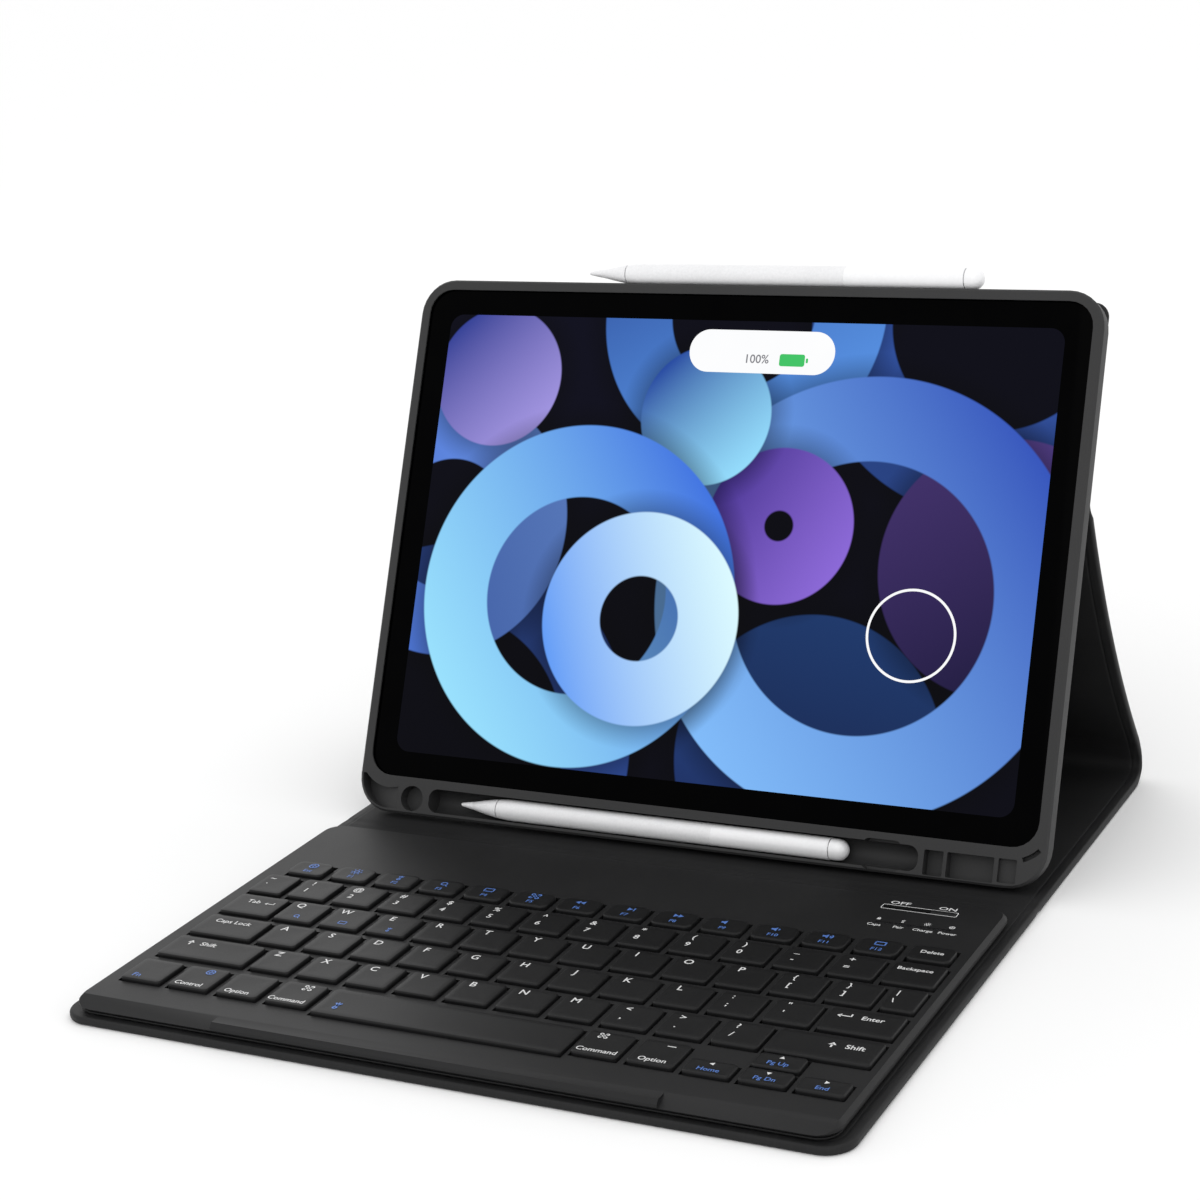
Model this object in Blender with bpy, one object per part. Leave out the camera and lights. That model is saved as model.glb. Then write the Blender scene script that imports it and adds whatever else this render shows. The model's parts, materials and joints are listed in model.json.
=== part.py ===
"""Tablet keyboard case: a folio of stiffened panels, a rubber tablet shell, a keyboard and two styluses.

The case stands open. +X is right, +Y is away from the user, +Z is up, and the table is z = 0.
Lengths are in metres; MM turns a length in millimetres into metres.
"""

import math

import bmesh
import bpy
from mathutils import Vector

MM = 0.001

# Folio: four flat panels joined by soft folds.
CASE_DEPTH = 285.07 * MM         # front edge of the cover to the rearmost point of the leg
CASE_WIDTH = 253.0 * MM
COVER_CORNER = 9.0 * MM
FRONT_FOLD_Y = 163.5 * MM        # from the front edge
REAR_FOLD_Y = 281.5 * MM         # from the front edge
FOLD_HALF_GAP = 3.0 * MM         # bare leather on each side of a fold line
SKIN = 0.5 * MM
BOARD = 1.2 * MM
LINING = 0.5 * MM
GLUE_LINE = 0.2 * MM
PANEL = SKIN + BOARD + LINING + 2 * GLUE_LINE
REAR_BEND = 4.5 * MM             # outer radius of the fold behind the floor panel
LEG_WIDTH = 251.0 * MM

# Tablet and the shell around it, in the shell's own frame: u right, v up the glass, n out of the glass.
TILT = math.radians(65.57)
GLASS_FOOT_Y = 175.8 * MM        # lower edge of the glass, from the front edge of the cover
GLASS_FOOT_Z = 14.8 * MM
TABLET_W = 247.6 * MM
TABLET_H = 178.5 * MM
TABLET_T = 6.1 * MM
TABLET_CORNER = 10.0 * MM
TABLET_GAP = 0.3 * MM
SHELL_WALL = 2.2 * MM
SHELL_BACK = 1.3 * MM
LIP_RISE = 0.9 * MM
LIP_COVER = 1.35 * MM            # how far the lip reaches over the glass
SHELL_FOOT = 11.6 * MM           # depth of the strip below the glass
SHELL_CORNER = 12.5 * MM
SHELL_EDGE = 3.0 * MM
FOOT_EDGE = 6.0 * MM

# Stylus and its groove.
STYLUS_R = 3.8 * MM
STYLUS_LENGTH = 145.0 * MM
STYLUS_TIP = 15.0 * MM
STYLUS_CAP = 6.0 * MM
GROOVE_R = 4.15 * MM
GROOVE_V = -5.9 * MM
GROOVE_N = -2.9 * MM
GROOVE_LEFT = -97.0 * MM
GROOVE_RIGHT = 84.0 * MM
GROOVE_STYLUS_TIP = -85.8 * MM   # u of the left end of each stylus
TOP_STYLUS_TIP = -61.6 * MM

# Pockets in the strip below the glass: (low u, high u, low v, high v, floor n, corner radius).
FINGER_RECESS = (65.0 * MM, 78.0 * MM, -10.9 * MM, -0.9 * MM, -3.0 * MM, 2.0 * MM)
ROUND_HOLE = (-108.3 * MM, -99.4 * MM, -10.45 * MM, -1.55 * MM, -3.6 * MM, 4.4 * MM)
FIRST_POCKET = (85.9 * MM, 92.4 * MM, -10.6 * MM, -2.5 * MM, -3.6 * MM, 0.5 * MM)
WIDE_POCKET = (93.6 * MM, 109.2 * MM, -10.6 * MM, -2.5 * MM, -3.6 * MM, 0.5 * MM)
LAST_POCKET = (110.6 * MM, 116.6 * MM, -10.1 * MM, -2.5 * MM, -1.2 * MM, 0.5 * MM)
SHALLOW_FLOOR = -1.6 * MM        # floor of the short channel around the right corner of the glass
RAMP_LOW = -4.2 * MM             # the left corner pocket: floor at its left end
RAMP_HIGH = 0.4 * MM             # and at its right end

# Crease between the leg and the panel on the shell's back.
CREASE_V = 112.7 * MM
UPPER_PANEL_WIDTH = 249.0 * MM
UPPER_PANEL_TOP = 179.0 * MM
CAMERA_U = 107.0 * MM
CAMERA_V = 164.0 * MM
CAMERA_HOLE_R = 9.0 * MM         # in the shell; the leather's hole is 1 mm larger all round
CAMERA_R = 6.5 * MM

# Keyboard, with y from the front edge of the cover and z from the table.
DECK_WIDTH = 245.6 * MM
DECK_FRONT = 1.8 * MM
DECK_REAR = 150.0 * MM
DECK_CORNER = 7.0 * MM
DECK_TOP = 7.0 * MM
DECK_PLATE = 1.3 * MM
DECK_WALL = 1.6 * MM
KEY_TOP = 8.2 * MM
KEY_PITCH = 17.06 * MM
CAP_WIDTH = 14.4 * MM
CAP_DEPTH = 14.2 * MM
CAP_CORNER = 1.4 * MM
CAP_EDGE = 0.35 * MM             # chamfer around the top of a cap
WELL_GAP = 0.4 * MM
WEB = 0.4 * MM
GAP = 0.3 * MM

# Key rows: distance of each row's middle from the front edge of the cover.
ROW_Y = {
    "function": 109.6 * MM,
    "number": 94.6 * MM,
    "top": 77.8 * MM,
    "home": 60.6 * MM,
    "bottom": 43.6 * MM,
    "space": 25.4 * MM,
}

MIDDLE_Y = CASE_DEPTH / 2

# Magnet bars in the front cover's board, behind the keyboard: half sizes and places from the front fold.
MAGNET_X = 60.0 * MM
MAGNET_Y = -30.0 * MM
MAGNET_HALF_X = 25.0 * MM
MAGNET_HALF_Y = 4.0 * MM


def clear_scene():
    for obj in list(bpy.data.objects):
        bpy.data.objects.remove(obj)


def material(name, colour, roughness, metallic=0.0):
    made = bpy.data.materials.new(name)
    made.use_nodes = True
    shader = made.node_tree.nodes["Principled BSDF"]
    shader.inputs["Base Color"].default_value = (*colour, 1.0)
    shader.inputs["Roughness"].default_value = roughness
    shader.inputs["Metallic"].default_value = metallic
    return made


BLACK_LEATHER = (0.026, 0.026, 0.028)
BLACK_LINING = (0.020, 0.020, 0.022)
GREY_BOARD = (0.16, 0.15, 0.14)
BLACK_RUBBER = (0.045, 0.045, 0.047)
DARK_PLASTIC = (0.035, 0.036, 0.038)
KEY_BLACK = (0.012, 0.012, 0.013)
WHITE_PLASTIC = (0.85, 0.85, 0.86)
STEEL = (0.55, 0.56, 0.58)


def frame_at(name, place, turn=0.0):
    """An empty on a joint axis, turned about X."""
    frame = bpy.data.objects.new(name, None)
    frame.location = place
    frame.rotation_euler = (turn, 0.0, 0.0)
    bpy.context.scene.collection.objects.link(frame)
    return frame


def add_object(name, mesh_data, look, parent=None, place=(0.0, 0.0, 0.0)):
    colour, roughness, metallic = look
    mesh = bpy.data.meshes.new(name)
    bmesh.ops.recalc_face_normals(mesh_data, faces=mesh_data.faces)
    mesh_data.to_mesh(mesh)
    mesh_data.free()
    mesh.materials.append(material(name, colour, roughness, metallic))
    obj = bpy.data.objects.new(name, mesh)
    obj.parent = parent
    obj.location = place
    bpy.context.scene.collection.objects.link(obj)
    return obj


def rounded_outline(low_x, high_x, low_y, high_y, radius, steps=6):
    """Corner points of a rectangle with round corners, anticlockwise from the lower right."""
    centres = (
        (high_x - radius, low_y + radius, -90),
        (high_x - radius, high_y - radius, 0),
        (low_x + radius, high_y - radius, 90),
        (low_x + radius, low_y + radius, 180),
    )
    points = []
    for centre_x, centre_y, start in centres:
        for step in range(steps + 1):
            angle = math.radians(start + 90 * step / steps)
            points.append((centre_x + radius * math.cos(angle), centre_y + radius * math.sin(angle)))
    return points


def stack(loops):
    """A closed solid through outlines with equal point counts: [(outline, height), ...], lowest first."""
    solid = bmesh.new()
    rings = [[solid.verts.new((x, y, height)) for x, y in outline] for outline, height in loops]
    count = len(rings[0])
    for lower, upper in zip(rings, rings[1:]):
        for index in range(count):
            after = (index + 1) % count
            solid.faces.new((lower[index], lower[after], upper[after], upper[index]))
    solid.faces.new(list(reversed(rings[0])))
    solid.faces.new(rings[-1])
    return solid


def slab(low_x, high_x, low_y, high_y, low_z, high_z, radius, edge=0.0, steps=6):
    """A flat plate with round corners; edge is the chamfer around its top."""
    full = rounded_outline(low_x, high_x, low_y, high_y, radius, steps)
    if edge == 0.0:
        return stack([(full, low_z), (full, high_z)])
    inner = rounded_outline(
        low_x + edge, high_x - edge, low_y + edge, high_y - edge, max(radius - edge, 0.1 * MM), steps
    )
    return stack([(full, low_z), (full, high_z - edge), (inner, high_z)])


def box(low, high):
    outline = [(low[0], low[1]), (high[0], low[1]), (high[0], high[1]), (low[0], high[1])]
    return stack([(outline, low[2]), (outline, high[2])])


def turned(profile, sides=24):
    """A solid of revolution about X through (x, radius) points; a radius of 0 is a pole."""
    solid = bmesh.new()
    rings = []
    for x, radius in profile:
        if radius == 0.0:
            rings.append([solid.verts.new((x, 0.0, 0.0))])
            continue
        ring = []
        for side in range(sides):
            angle = 2 * math.pi * side / sides
            ring.append(solid.verts.new((x, radius * math.cos(angle), radius * math.sin(angle))))
        rings.append(ring)
    for left, right in zip(rings, rings[1:]):
        for side in range(sides):
            after = (side + 1) % sides
            if len(left) == 1:
                solid.faces.new((left[0], right[after], right[side]))
            elif len(right) == 1:
                solid.faces.new((left[side], left[after], right[0]))
            else:
                solid.faces.new((left[side], left[after], right[after], right[side]))
    for ring, flip in ((rings[0], False), (rings[-1], True)):
        if len(ring) > 1:
            solid.faces.new(ring if flip else list(reversed(ring)))
    return solid


def merge(solids):
    """Puts several separate closed solids into one cutter."""
    whole = bmesh.new()
    for solid in solids:
        mesh = bpy.data.meshes.new("piece")
        bmesh.ops.recalc_face_normals(solid, faces=solid.faces)
        solid.to_mesh(mesh)
        solid.free()
        whole.from_mesh(mesh)
        bpy.data.meshes.remove(mesh)
    return whole


def cut(target, name, cutter_data):
    """Takes the cutter's solids out of the target."""
    cutter = add_object(name, cutter_data, (STEEL, 0.5, 0.0), target.parent)
    cutter.location = target.location
    cutter.hide_render = True
    cutter.display_type = "WIRE"
    boolean = target.modifiers.new(name, "BOOLEAN")
    boolean.operation = "DIFFERENCE"
    boolean.solver = "EXACT"
    boolean.object = cutter


def smooth(obj, angle=35.0):
    obj.data.shade_smooth()
    obj.data.set_sharp_from_angle(angle=math.radians(angle))


def shell_place(v, n):
    """Case position of a point v up the glass and n out of it."""
    y = GLASS_FOOT_Y - MIDDLE_Y + v * math.cos(TILT) - n * math.sin(TILT)
    z = GLASS_FOOT_Z + v * math.sin(TILT) + n * math.cos(TILT)
    return Vector((0.0, y, z))


# Stacking of the layers behind the tablet, along n.
SHELL_REAR_N = -(TABLET_T + TABLET_GAP + SHELL_BACK)
UPPER_BOARD_N = SHELL_REAR_N - GLUE_LINE
UPPER_SKIN_N = UPPER_BOARD_N - BOARD - GLUE_LINE
CREASE_N = UPPER_SKIN_N - SKIN - GAP

FRONT_AXIS = Vector((0.0, FRONT_FOLD_Y - MIDDLE_Y, SKIN / 2))
REAR_AXIS = Vector((0.0, REAR_FOLD_Y - MIDDLE_Y, REAR_BEND))
CREASE_AXIS = shell_place(CREASE_V, CREASE_N)


def leg_direction():
    """Angle of the leg above +Y, and its length, so that its outer face is tangent to the rear bend."""
    reach = CREASE_AXIS - REAR_AXIS
    span = math.hypot(reach.y, reach.z)
    towards = math.atan2(reach.z, reach.y)
    return towards + math.asin(REAR_BEND / span), math.sqrt(span**2 - REAR_BEND**2)


LEG_TURN, LEG_LENGTH = leg_direction()


def cover_layer(name, width, low_y, high_y, low_z, thickness, look, parent, round_front):
    """One layer of a flat panel on the table, in its frame's coordinates; only the front end may be round."""
    half = width / 2
    radius = COVER_CORNER if round_front else 0.6 * MM
    outline = [(half, high_y), (-half, high_y)]
    for centre_x, start in ((-half + radius, 180), (half - radius, 270)):
        for step in range(7):
            angle = math.radians(start + 15 * step)
            outline.append((centre_x + radius * math.cos(angle), low_y + radius + radius * math.sin(angle)))
    return add_object(name, stack([(outline, low_z), (outline, low_z + thickness)]), look, parent)


def make_front_cover():
    frame = frame_at("front_cover_frame", FRONT_AXIS)
    front = -FRONT_FOLD_Y
    rear = -FOLD_HALF_GAP
    floor = -FRONT_AXIS.z
    leather = (BLACK_LEATHER, 0.55, 0.0)
    cover_layer("front_cover_skin", CASE_WIDTH, front, rear, floor, SKIN, leather, frame, True)
    inset = 1.5 * MM
    board = cover_layer(
        "front_cover_board", CASE_WIDTH - 2 * inset, front + inset, rear, floor + SKIN + GLUE_LINE, BOARD,
        (GREY_BOARD, 0.8, 0.0), frame, True,
    )
    lining_low = floor + SKIN + BOARD + 2 * GLUE_LINE
    lining_look = (BLACK_LINING, 0.75, 0.0)
    cover_layer("front_cover_lining", CASE_WIDTH, front, rear, lining_low, LINING, lining_look, frame, True)
    # Two magnet bars in pockets of the board hold the keyboard.
    low = floor + SKIN + GLUE_LINE
    high = low + BOARD
    slack = 0.1 * MM
    pockets = []
    for side, name in ((-1, "keyboard_magnet_left"), (1, "keyboard_magnet_right")):
        low_x = side * MAGNET_X - MAGNET_HALF_X
        high_x = side * MAGNET_X + MAGNET_HALF_X
        low_y = MAGNET_Y - MAGNET_HALF_Y
        high_y = MAGNET_Y + MAGNET_HALF_Y
        pockets.append(box((low_x - GAP, low_y - GAP, low - GAP), (high_x + GAP, high_y + GAP, high + GAP)))
        bar = box((low_x, low_y, low + slack), (high_x, high_y, high - slack))
        add_object(name, bar, (STEEL, 0.35, 1.0), frame)
    cut(board, "magnet_pockets", merge(pockets))
    return frame


def make_floor_panel():
    low_y = FRONT_AXIS.y + FOLD_HALF_GAP
    high_y = REAR_AXIS.y - FOLD_HALF_GAP
    half = CASE_WIDTH / 2
    layers = (
        ("floor_panel_skin", 0.0, SKIN, (BLACK_LEATHER, 0.55, 0.0), 0.0),
        ("floor_panel_board", SKIN + GLUE_LINE, BOARD, (GREY_BOARD, 0.8, 0.0), 1.5 * MM),
        ("floor_panel_lining", SKIN + BOARD + 2 * GLUE_LINE, LINING, (BLACK_LINING, 0.75, 0.0), 0.0),
    )
    for name, low_z, thickness, look, inset in layers:
        solid = box((-half + inset, low_y, low_z), (half - inset, high_y, low_z + thickness))
        add_object(name, solid, look)
    # The bare leather of the front fold, under the gap between the two panels.
    fold = FOLD_HALF_GAP - GAP
    strip = box((-half, FRONT_AXIS.y - fold, 0.0), (half, FRONT_AXIS.y + fold, SKIN))
    add_object("front_fold_strip", strip, (BLACK_LEATHER, 0.6, 0.0))


def make_rear_fold():
    """The soft bend behind the floor panel: a leather arc inside the sweep of the leg."""
    outer = REAR_BEND - PANEL - GAP
    inner = outer - SKIN
    first = math.radians(-150)
    last = LEG_TURN - math.radians(60)
    steps = 10
    arc = [first + (last - first) * step / steps for step in range(steps + 1)]
    outline = [(outer * math.cos(angle), outer * math.sin(angle)) for angle in arc]
    outline += [(inner * math.cos(angle), inner * math.sin(angle)) for angle in reversed(arc)]
    half = CASE_WIDTH / 2
    strip = bmesh.new()
    left = [strip.verts.new((-half, y, z)) for y, z in outline]
    right = [strip.verts.new((half, y, z)) for y, z in outline]
    for index in range(len(outline)):
        after = (index + 1) % len(outline)
        strip.faces.new((left[index], left[after], right[after], right[index]))
    for index in range(steps):
        far = len(outline) - 1 - index
        strip.faces.new((left[index], left[index + 1], left[far - 1], left[far]))
        strip.faces.new((right[far], right[far - 1], right[index + 1], right[index]))
    add_object("rear_fold_strip", strip, (BLACK_LEATHER, 0.6, 0.0), None, REAR_AXIS)


def make_leg():
    """The leg: its frame has y up the leg and z towards the inside of the stand."""
    frame = frame_at("leg_frame", REAR_AXIS, LEG_TURN)
    low_y = 1.0 * MM
    high_y = LEG_LENGTH - FOLD_HALF_GAP
    layers = (
        ("leg_skin", 0.0, SKIN, (BLACK_LEATHER, 0.55, 0.0), 0.0),
        ("leg_board", SKIN + GLUE_LINE, BOARD, (GREY_BOARD, 0.8, 0.0), 1.5 * MM),
        ("leg_lining", SKIN + BOARD + 2 * GLUE_LINE, LINING, (BLACK_LINING, 0.75, 0.0), 0.0),
    )
    for name, depth, thickness, look, inset in layers:
        half = LEG_WIDTH / 2 - inset
        low_z = -REAR_BEND + depth
        solid = box((-half, low_y, low_z), (half, high_y, low_z + thickness))
        add_object(name, solid, look, frame)
    return frame


def shell_loops():
    """Outlines of the shell from its back to its front, with round back edges and a rounder foot."""
    half = TABLET_W / 2 + SHELL_WALL
    top = TABLET_H + SHELL_WALL
    loops = []
    steps = 6
    for step in range(steps + 1):
        rise = FOOT_EDGE * (1 - math.cos(math.radians(90 * step / steps)))
        foot_inset = FOOT_EDGE - math.sqrt(max(FOOT_EDGE**2 - (FOOT_EDGE - rise)**2, 0.0))
        side_rise = min(rise, SHELL_EDGE)
        side_inset = SHELL_EDGE - math.sqrt(max(SHELL_EDGE**2 - (SHELL_EDGE - side_rise)**2, 0.0))
        outline = rounded_outline(
            -half + side_inset, half - side_inset, -SHELL_FOOT + foot_inset, top - side_inset,
            SHELL_CORNER - side_inset, 8,
        )
        loops.append((outline, SHELL_REAR_N + rise))
    front_edge = 0.7 * MM
    full = rounded_outline(-half, half, -SHELL_FOOT, top, SHELL_CORNER, 8)
    inner = rounded_outline(
        -half + front_edge, half - front_edge, -SHELL_FOOT + front_edge, top - front_edge,
        SHELL_CORNER - front_edge, 8,
    )
    loops.append((full, LIP_RISE - front_edge))
    loops.append((inner, LIP_RISE))
    return loops


def to_shell(solid):
    """Moves a solid from (u, v, n) about the glass foot to the shell frame's origin on the crease."""
    bmesh.ops.translate(solid, verts=solid.verts, vec=(0.0, -CREASE_V, -CREASE_N))
    return solid


def arc_points(centre_u, centre_v, radius, start, end, steps=8):
    points = []
    for step in range(steps + 1):
        angle = math.radians(start + (end - start) * step / steps)
        points.append((centre_u + radius * math.cos(angle), centre_v + radius * math.sin(angle)))
    return points


def corner_channel(low_n, high_n):
    """The short curved channel around the right corner of the glass."""
    centre_u, centre_v = 113.8 * MM, 10.0 * MM
    outline = arc_points(centre_u, centre_v, 13.8 * MM, 290, 318)
    outline += arc_points(centre_u, centre_v, 12.3 * MM, 318, 290)
    return stack([(outline, low_n), (outline, high_n)])


def corner_pocket(top_n):
    """The pocket in the shell's lower left corner; its floor rises from left to right."""
    outer_u, outer_v = -113.5 * MM, 0.9 * MM
    glass_u, glass_v = -113.8 * MM, 10.0 * MM
    outline = arc_points(outer_u, outer_v, 11.3 * MM, 178, 262)
    outline.append((-109.7 * MM, -9.9 * MM))
    outline += arc_points(glass_u, glass_v, 13.0 * MM, 288, 222)
    solid = stack([(outline, 0.0), (outline, top_n)])
    left = min(u for u, v in outline)
    right = max(u for u, v in outline)
    for vertex in solid.verts:
        if vertex.co.z < top_n / 2:
            vertex.co.z = RAMP_LOW + (RAMP_HIGH - RAMP_LOW) * (vertex.co.x - left) / (right - left)
    return solid


def make_shell():
    frame = frame_at("shell_frame", CREASE_AXIS, TILT)
    shell = add_object("tablet_shell", to_shell(stack(shell_loops())), (BLACK_RUBBER, 0.6, 0.0), frame)

    half = TABLET_W / 2 + TABLET_GAP
    opening = rounded_outline(-half, half, -TABLET_GAP, TABLET_H + TABLET_GAP, TABLET_CORNER)
    hollow = stack([(opening, -TABLET_T - TABLET_GAP), (opening, TABLET_GAP)])
    cut(shell, "tablet_hollow", to_shell(hollow))

    half = TABLET_W / 2 - LIP_COVER
    window = rounded_outline(-half, half, LIP_COVER, TABLET_H - LIP_COVER, TABLET_CORNER - LIP_COVER)
    beyond = LIP_RISE + 1.0 * MM
    glass_window = stack([(window, 0.0), (window, beyond)])
    cut(shell, "glass_window", to_shell(glass_window))

    # The stylus groove: a round bed with straight sides up to the front.
    groove = turned([(GROOVE_LEFT, GROOVE_R), (GROOVE_RIGHT, GROOVE_R)], 32)
    bmesh.ops.translate(groove, verts=groove.verts, vec=(0.0, GROOVE_V, GROOVE_N))
    cut(shell, "groove_bed", to_shell(groove))
    mouth = slab(
        GROOVE_LEFT, GROOVE_RIGHT, GROOVE_V - GROOVE_R, GROOVE_V + GROOVE_R, GROOVE_N, beyond, GROOVE_R * 0.8
    )
    cut(shell, "groove_mouth", to_shell(mouth))

    # The finger recess beside the stylus, the round hole, the pockets on the right and those in the corners.
    pockets = [corner_pocket(beyond), corner_channel(SHALLOW_FLOOR, beyond)]
    for low_u, high_u, low_v, high_v, floor_n, radius in (
        FINGER_RECESS, ROUND_HOLE, FIRST_POCKET, WIDE_POCKET, LAST_POCKET
    ):
        pockets.append(slab(low_u, high_u, low_v, high_v, floor_n, beyond, radius, 0.0, 5))
    cut(shell, "strip_pockets", to_shell(merge(pockets)))
    cut(shell, "camera_hole", to_shell(camera_disc(CAMERA_HOLE_R, SHELL_REAR_N - 4.0 * MM, -TABLET_T)))
    return frame


def camera_disc(radius, low_n, high_n):
    """A round solid on the axis of the rear camera."""
    return slab(
        CAMERA_U - radius, CAMERA_U + radius, CAMERA_V - radius, CAMERA_V + radius, low_n, high_n,
        radius - 0.05 * MM, 0.0, 8,
    )


def make_upper_panel(frame):
    """The narrow leather panel glued to the upper part of the shell's back."""
    half = UPPER_PANEL_WIDTH / 2
    low_v = CREASE_V + FOLD_HALF_GAP
    inset = 1.0 * MM
    for name, front_n, thickness, look, trim in (
        ("upper_panel_board", UPPER_BOARD_N, BOARD, (GREY_BOARD, 0.8, 0.0), inset),
        ("upper_panel_skin", UPPER_SKIN_N, SKIN, (BLACK_LEATHER, 0.55, 0.0), 0.0),
    ):
        solid = slab(
            -half + trim, half - trim, low_v, UPPER_PANEL_TOP - trim, front_n - thickness, front_n, 5.0 * MM
        )
        panel = add_object(name, to_shell(solid), look, frame)
        hole = camera_disc(CAMERA_HOLE_R + 1.0 * MM, front_n - thickness - GAP, front_n + GAP)
        cut(panel, name + "_hole", to_shell(hole))
    # The bare leather of the crease stays inside the sweep of the leg's upper edge.
    crease = FOLD_HALF_GAP - 2 * GAP
    strip = box(
        (-half, CREASE_V - crease, UPPER_SKIN_N - SKIN),
        (half, CREASE_V + crease, UPPER_SKIN_N),
    )
    add_object("crease_strip", to_shell(strip), (BLACK_LEATHER, 0.6, 0.0), frame)


def make_tablet(frame):
    half = TABLET_W / 2
    edge = 1.2 * MM
    glass_t = 0.7 * MM
    full = rounded_outline(-half, half, 0.0, TABLET_H, TABLET_CORNER)
    inner = rounded_outline(-half + edge, half - edge, edge, TABLET_H - edge, TABLET_CORNER - edge)
    housing = stack([
        (inner, -TABLET_T),
        (full, -TABLET_T + edge),
        (full, -glass_t - 0.1 * MM),
    ])
    tray = add_object("tablet_housing", to_shell(housing), (STEEL, 0.4, 0.9), frame)
    wall = 2.0 * MM
    floor_n = -TABLET_T + 1.0 * MM
    recess = slab(-half + wall, half - wall, wall, TABLET_H - wall, floor_n, 0.0, TABLET_CORNER - wall)
    cut(tray, "tablet_recess", to_shell(recess))
    cell_inset = 22.0 * MM
    cell = slab(
        -95.0 * MM, 80.0 * MM, cell_inset, TABLET_H - cell_inset, floor_n + GAP, -glass_t - GAP,
        3.0 * MM, 0.0, 3,
    )
    add_object("tablet_battery", to_shell(cell), ((0.03, 0.03, 0.035), 0.5, 0.0), frame)
    glass = slab(
        -half + 0.3 * MM, half - 0.3 * MM, 0.3 * MM, TABLET_H - 0.3 * MM, -glass_t, 0.0,
        TABLET_CORNER - 0.3 * MM, 0.15 * MM,
    )
    add_object("tablet_glass", to_shell(glass), ((0.01, 0.01, 0.012), 0.08, 0.0), frame)
    lens_back = -TABLET_T - GLUE_LINE
    camera = camera_disc(CAMERA_R, lens_back - 1.6 * MM, lens_back)
    add_object("tablet_camera", to_shell(camera), ((0.02, 0.02, 0.022), 0.15, 0.3), frame)


def make_stylus(name, frame, tip_u, v, n):
    """A stylus along u with its tip on the left: tip, barrel and end cap."""
    tip = turned([(0.0, 0.0), (0.4 * MM, 0.55 * MM), (STYLUS_TIP * 0.45, 1.9 * MM), (STYLUS_TIP, 3.3 * MM)])
    shoulder = STYLUS_TIP + GAP
    cap_start = STYLUS_LENGTH - STYLUS_CAP
    barrel = turned([
        (shoulder, 3.35 * MM),
        (shoulder + 5.0 * MM, STYLUS_R),
        (cap_start - GAP, STYLUS_R),
    ])
    cap = turned([
        (cap_start, STYLUS_R - 0.1 * MM),
        (cap_start + 2.5 * MM, STYLUS_R - 0.1 * MM),
        (cap_start + 4.4 * MM, 3.1 * MM),
        (cap_start + 5.6 * MM, 1.7 * MM),
        (STYLUS_LENGTH, 0.0),
    ])
    place = (tip_u, v - CREASE_V, n - CREASE_N)
    for part_name, solid, look in (
        (name + "_tip", tip, (WHITE_PLASTIC, 0.4, 0.0)),
        (name + "_barrel", barrel, (WHITE_PLASTIC, 0.3, 0.0)),
        (name + "_cap", cap, (WHITE_PLASTIC, 0.25, 0.0)),
    ):
        smooth(add_object(part_name, solid, look, frame, place))


# Keys: name, row, and each cap as (middle x, width, middle offset in y, depth).
def row_caps(first_x, count, width=CAP_WIDTH, pitch=KEY_PITCH, depth=CAP_DEPTH):
    return [(first_x + pitch * index, width, 0.0, depth) for index in range(count)]


FUNCTION_PITCH = 16.67 * MM
FUNCTION_WIDTH = 13.8 * MM
FUNCTION_DEPTH = 10.0 * MM
ARROW_DEPTH = 8.2 * MM
ARROW_SHIFT = -3.4 * MM
SPACE_EXTRA = 2.0 * MM           # the space bar is deeper than the letter caps, towards the front

KEY_GROUPS = {
    "function_keys": ("function", row_caps(-105.8 * MM, 14, FUNCTION_WIDTH, FUNCTION_PITCH, FUNCTION_DEPTH)),
    "number_keys": ("number", [(-110.2 * MM, 12.4 * MM, 0.0, CAP_DEPTH)] + row_caps(-94.4 * MM, 12)),
    "backspace_key": ("number", [(111.0 * MM, 16.2 * MM, 0.0, CAP_DEPTH)]),
    "tab_key": ("top", [(-106.8 * MM, 18.6 * MM, 0.0, CAP_DEPTH)]),
    "top_letter_keys": ("top", row_caps(-88.6 * MM, 12) + [(113.9 * MM, 10.4 * MM, 0.0, CAP_DEPTH)]),
    "caps_lock_key": ("home", [(-104.4 * MM, 23.2 * MM, 0.0, CAP_DEPTH)]),
    "home_letter_keys": ("home", row_caps(-83.4 * MM, 11)),
    "enter_key": ("home", [(107.8 * MM, 22.6 * MM, 0.0, CAP_DEPTH)]),
    "left_shift_key": ("bottom", [(-100.0 * MM, 32.0 * MM, 0.0, CAP_DEPTH)]),
    "bottom_letter_keys": ("bottom", row_caps(-74.6 * MM, 10)),
    "right_shift_key": ("bottom", [(103.4 * MM, 31.4 * MM, 0.0, CAP_DEPTH)]),
    "fn_key": ("space", [(-109.0 * MM, 14.6 * MM, 0.0, CAP_DEPTH)]),
    "left_modifier_keys": ("space", row_caps(-91.8 * MM, 3, 14.6 * MM, 17.5 * MM)),
    "space_bar": ("space", [(-5.8 * MM, 82.6 * MM, -SPACE_EXTRA / 2, CAP_DEPTH + SPACE_EXTRA)]),
    "right_modifier_keys": ("space", row_caps(44.6 * MM, 2, 14.4 * MM, 17.1 * MM)),
    "arrow_left_key": ("space", [(78.6 * MM, CAP_WIDTH, ARROW_SHIFT, ARROW_DEPTH)]),
    "arrow_up_key": ("space", [(95.2 * MM, CAP_WIDTH, ARROW_SHIFT + ARROW_DEPTH + 1.1 * MM, ARROW_DEPTH)]),
    "arrow_down_key": ("space", [(95.2 * MM, CAP_WIDTH, ARROW_SHIFT, ARROW_DEPTH)]),
    "arrow_right_key": ("space", [(111.8 * MM, CAP_WIDTH, ARROW_SHIFT, ARROW_DEPTH)]),
}
WEB_TOP = DECK_TOP - DECK_PLATE - GAP


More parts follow.
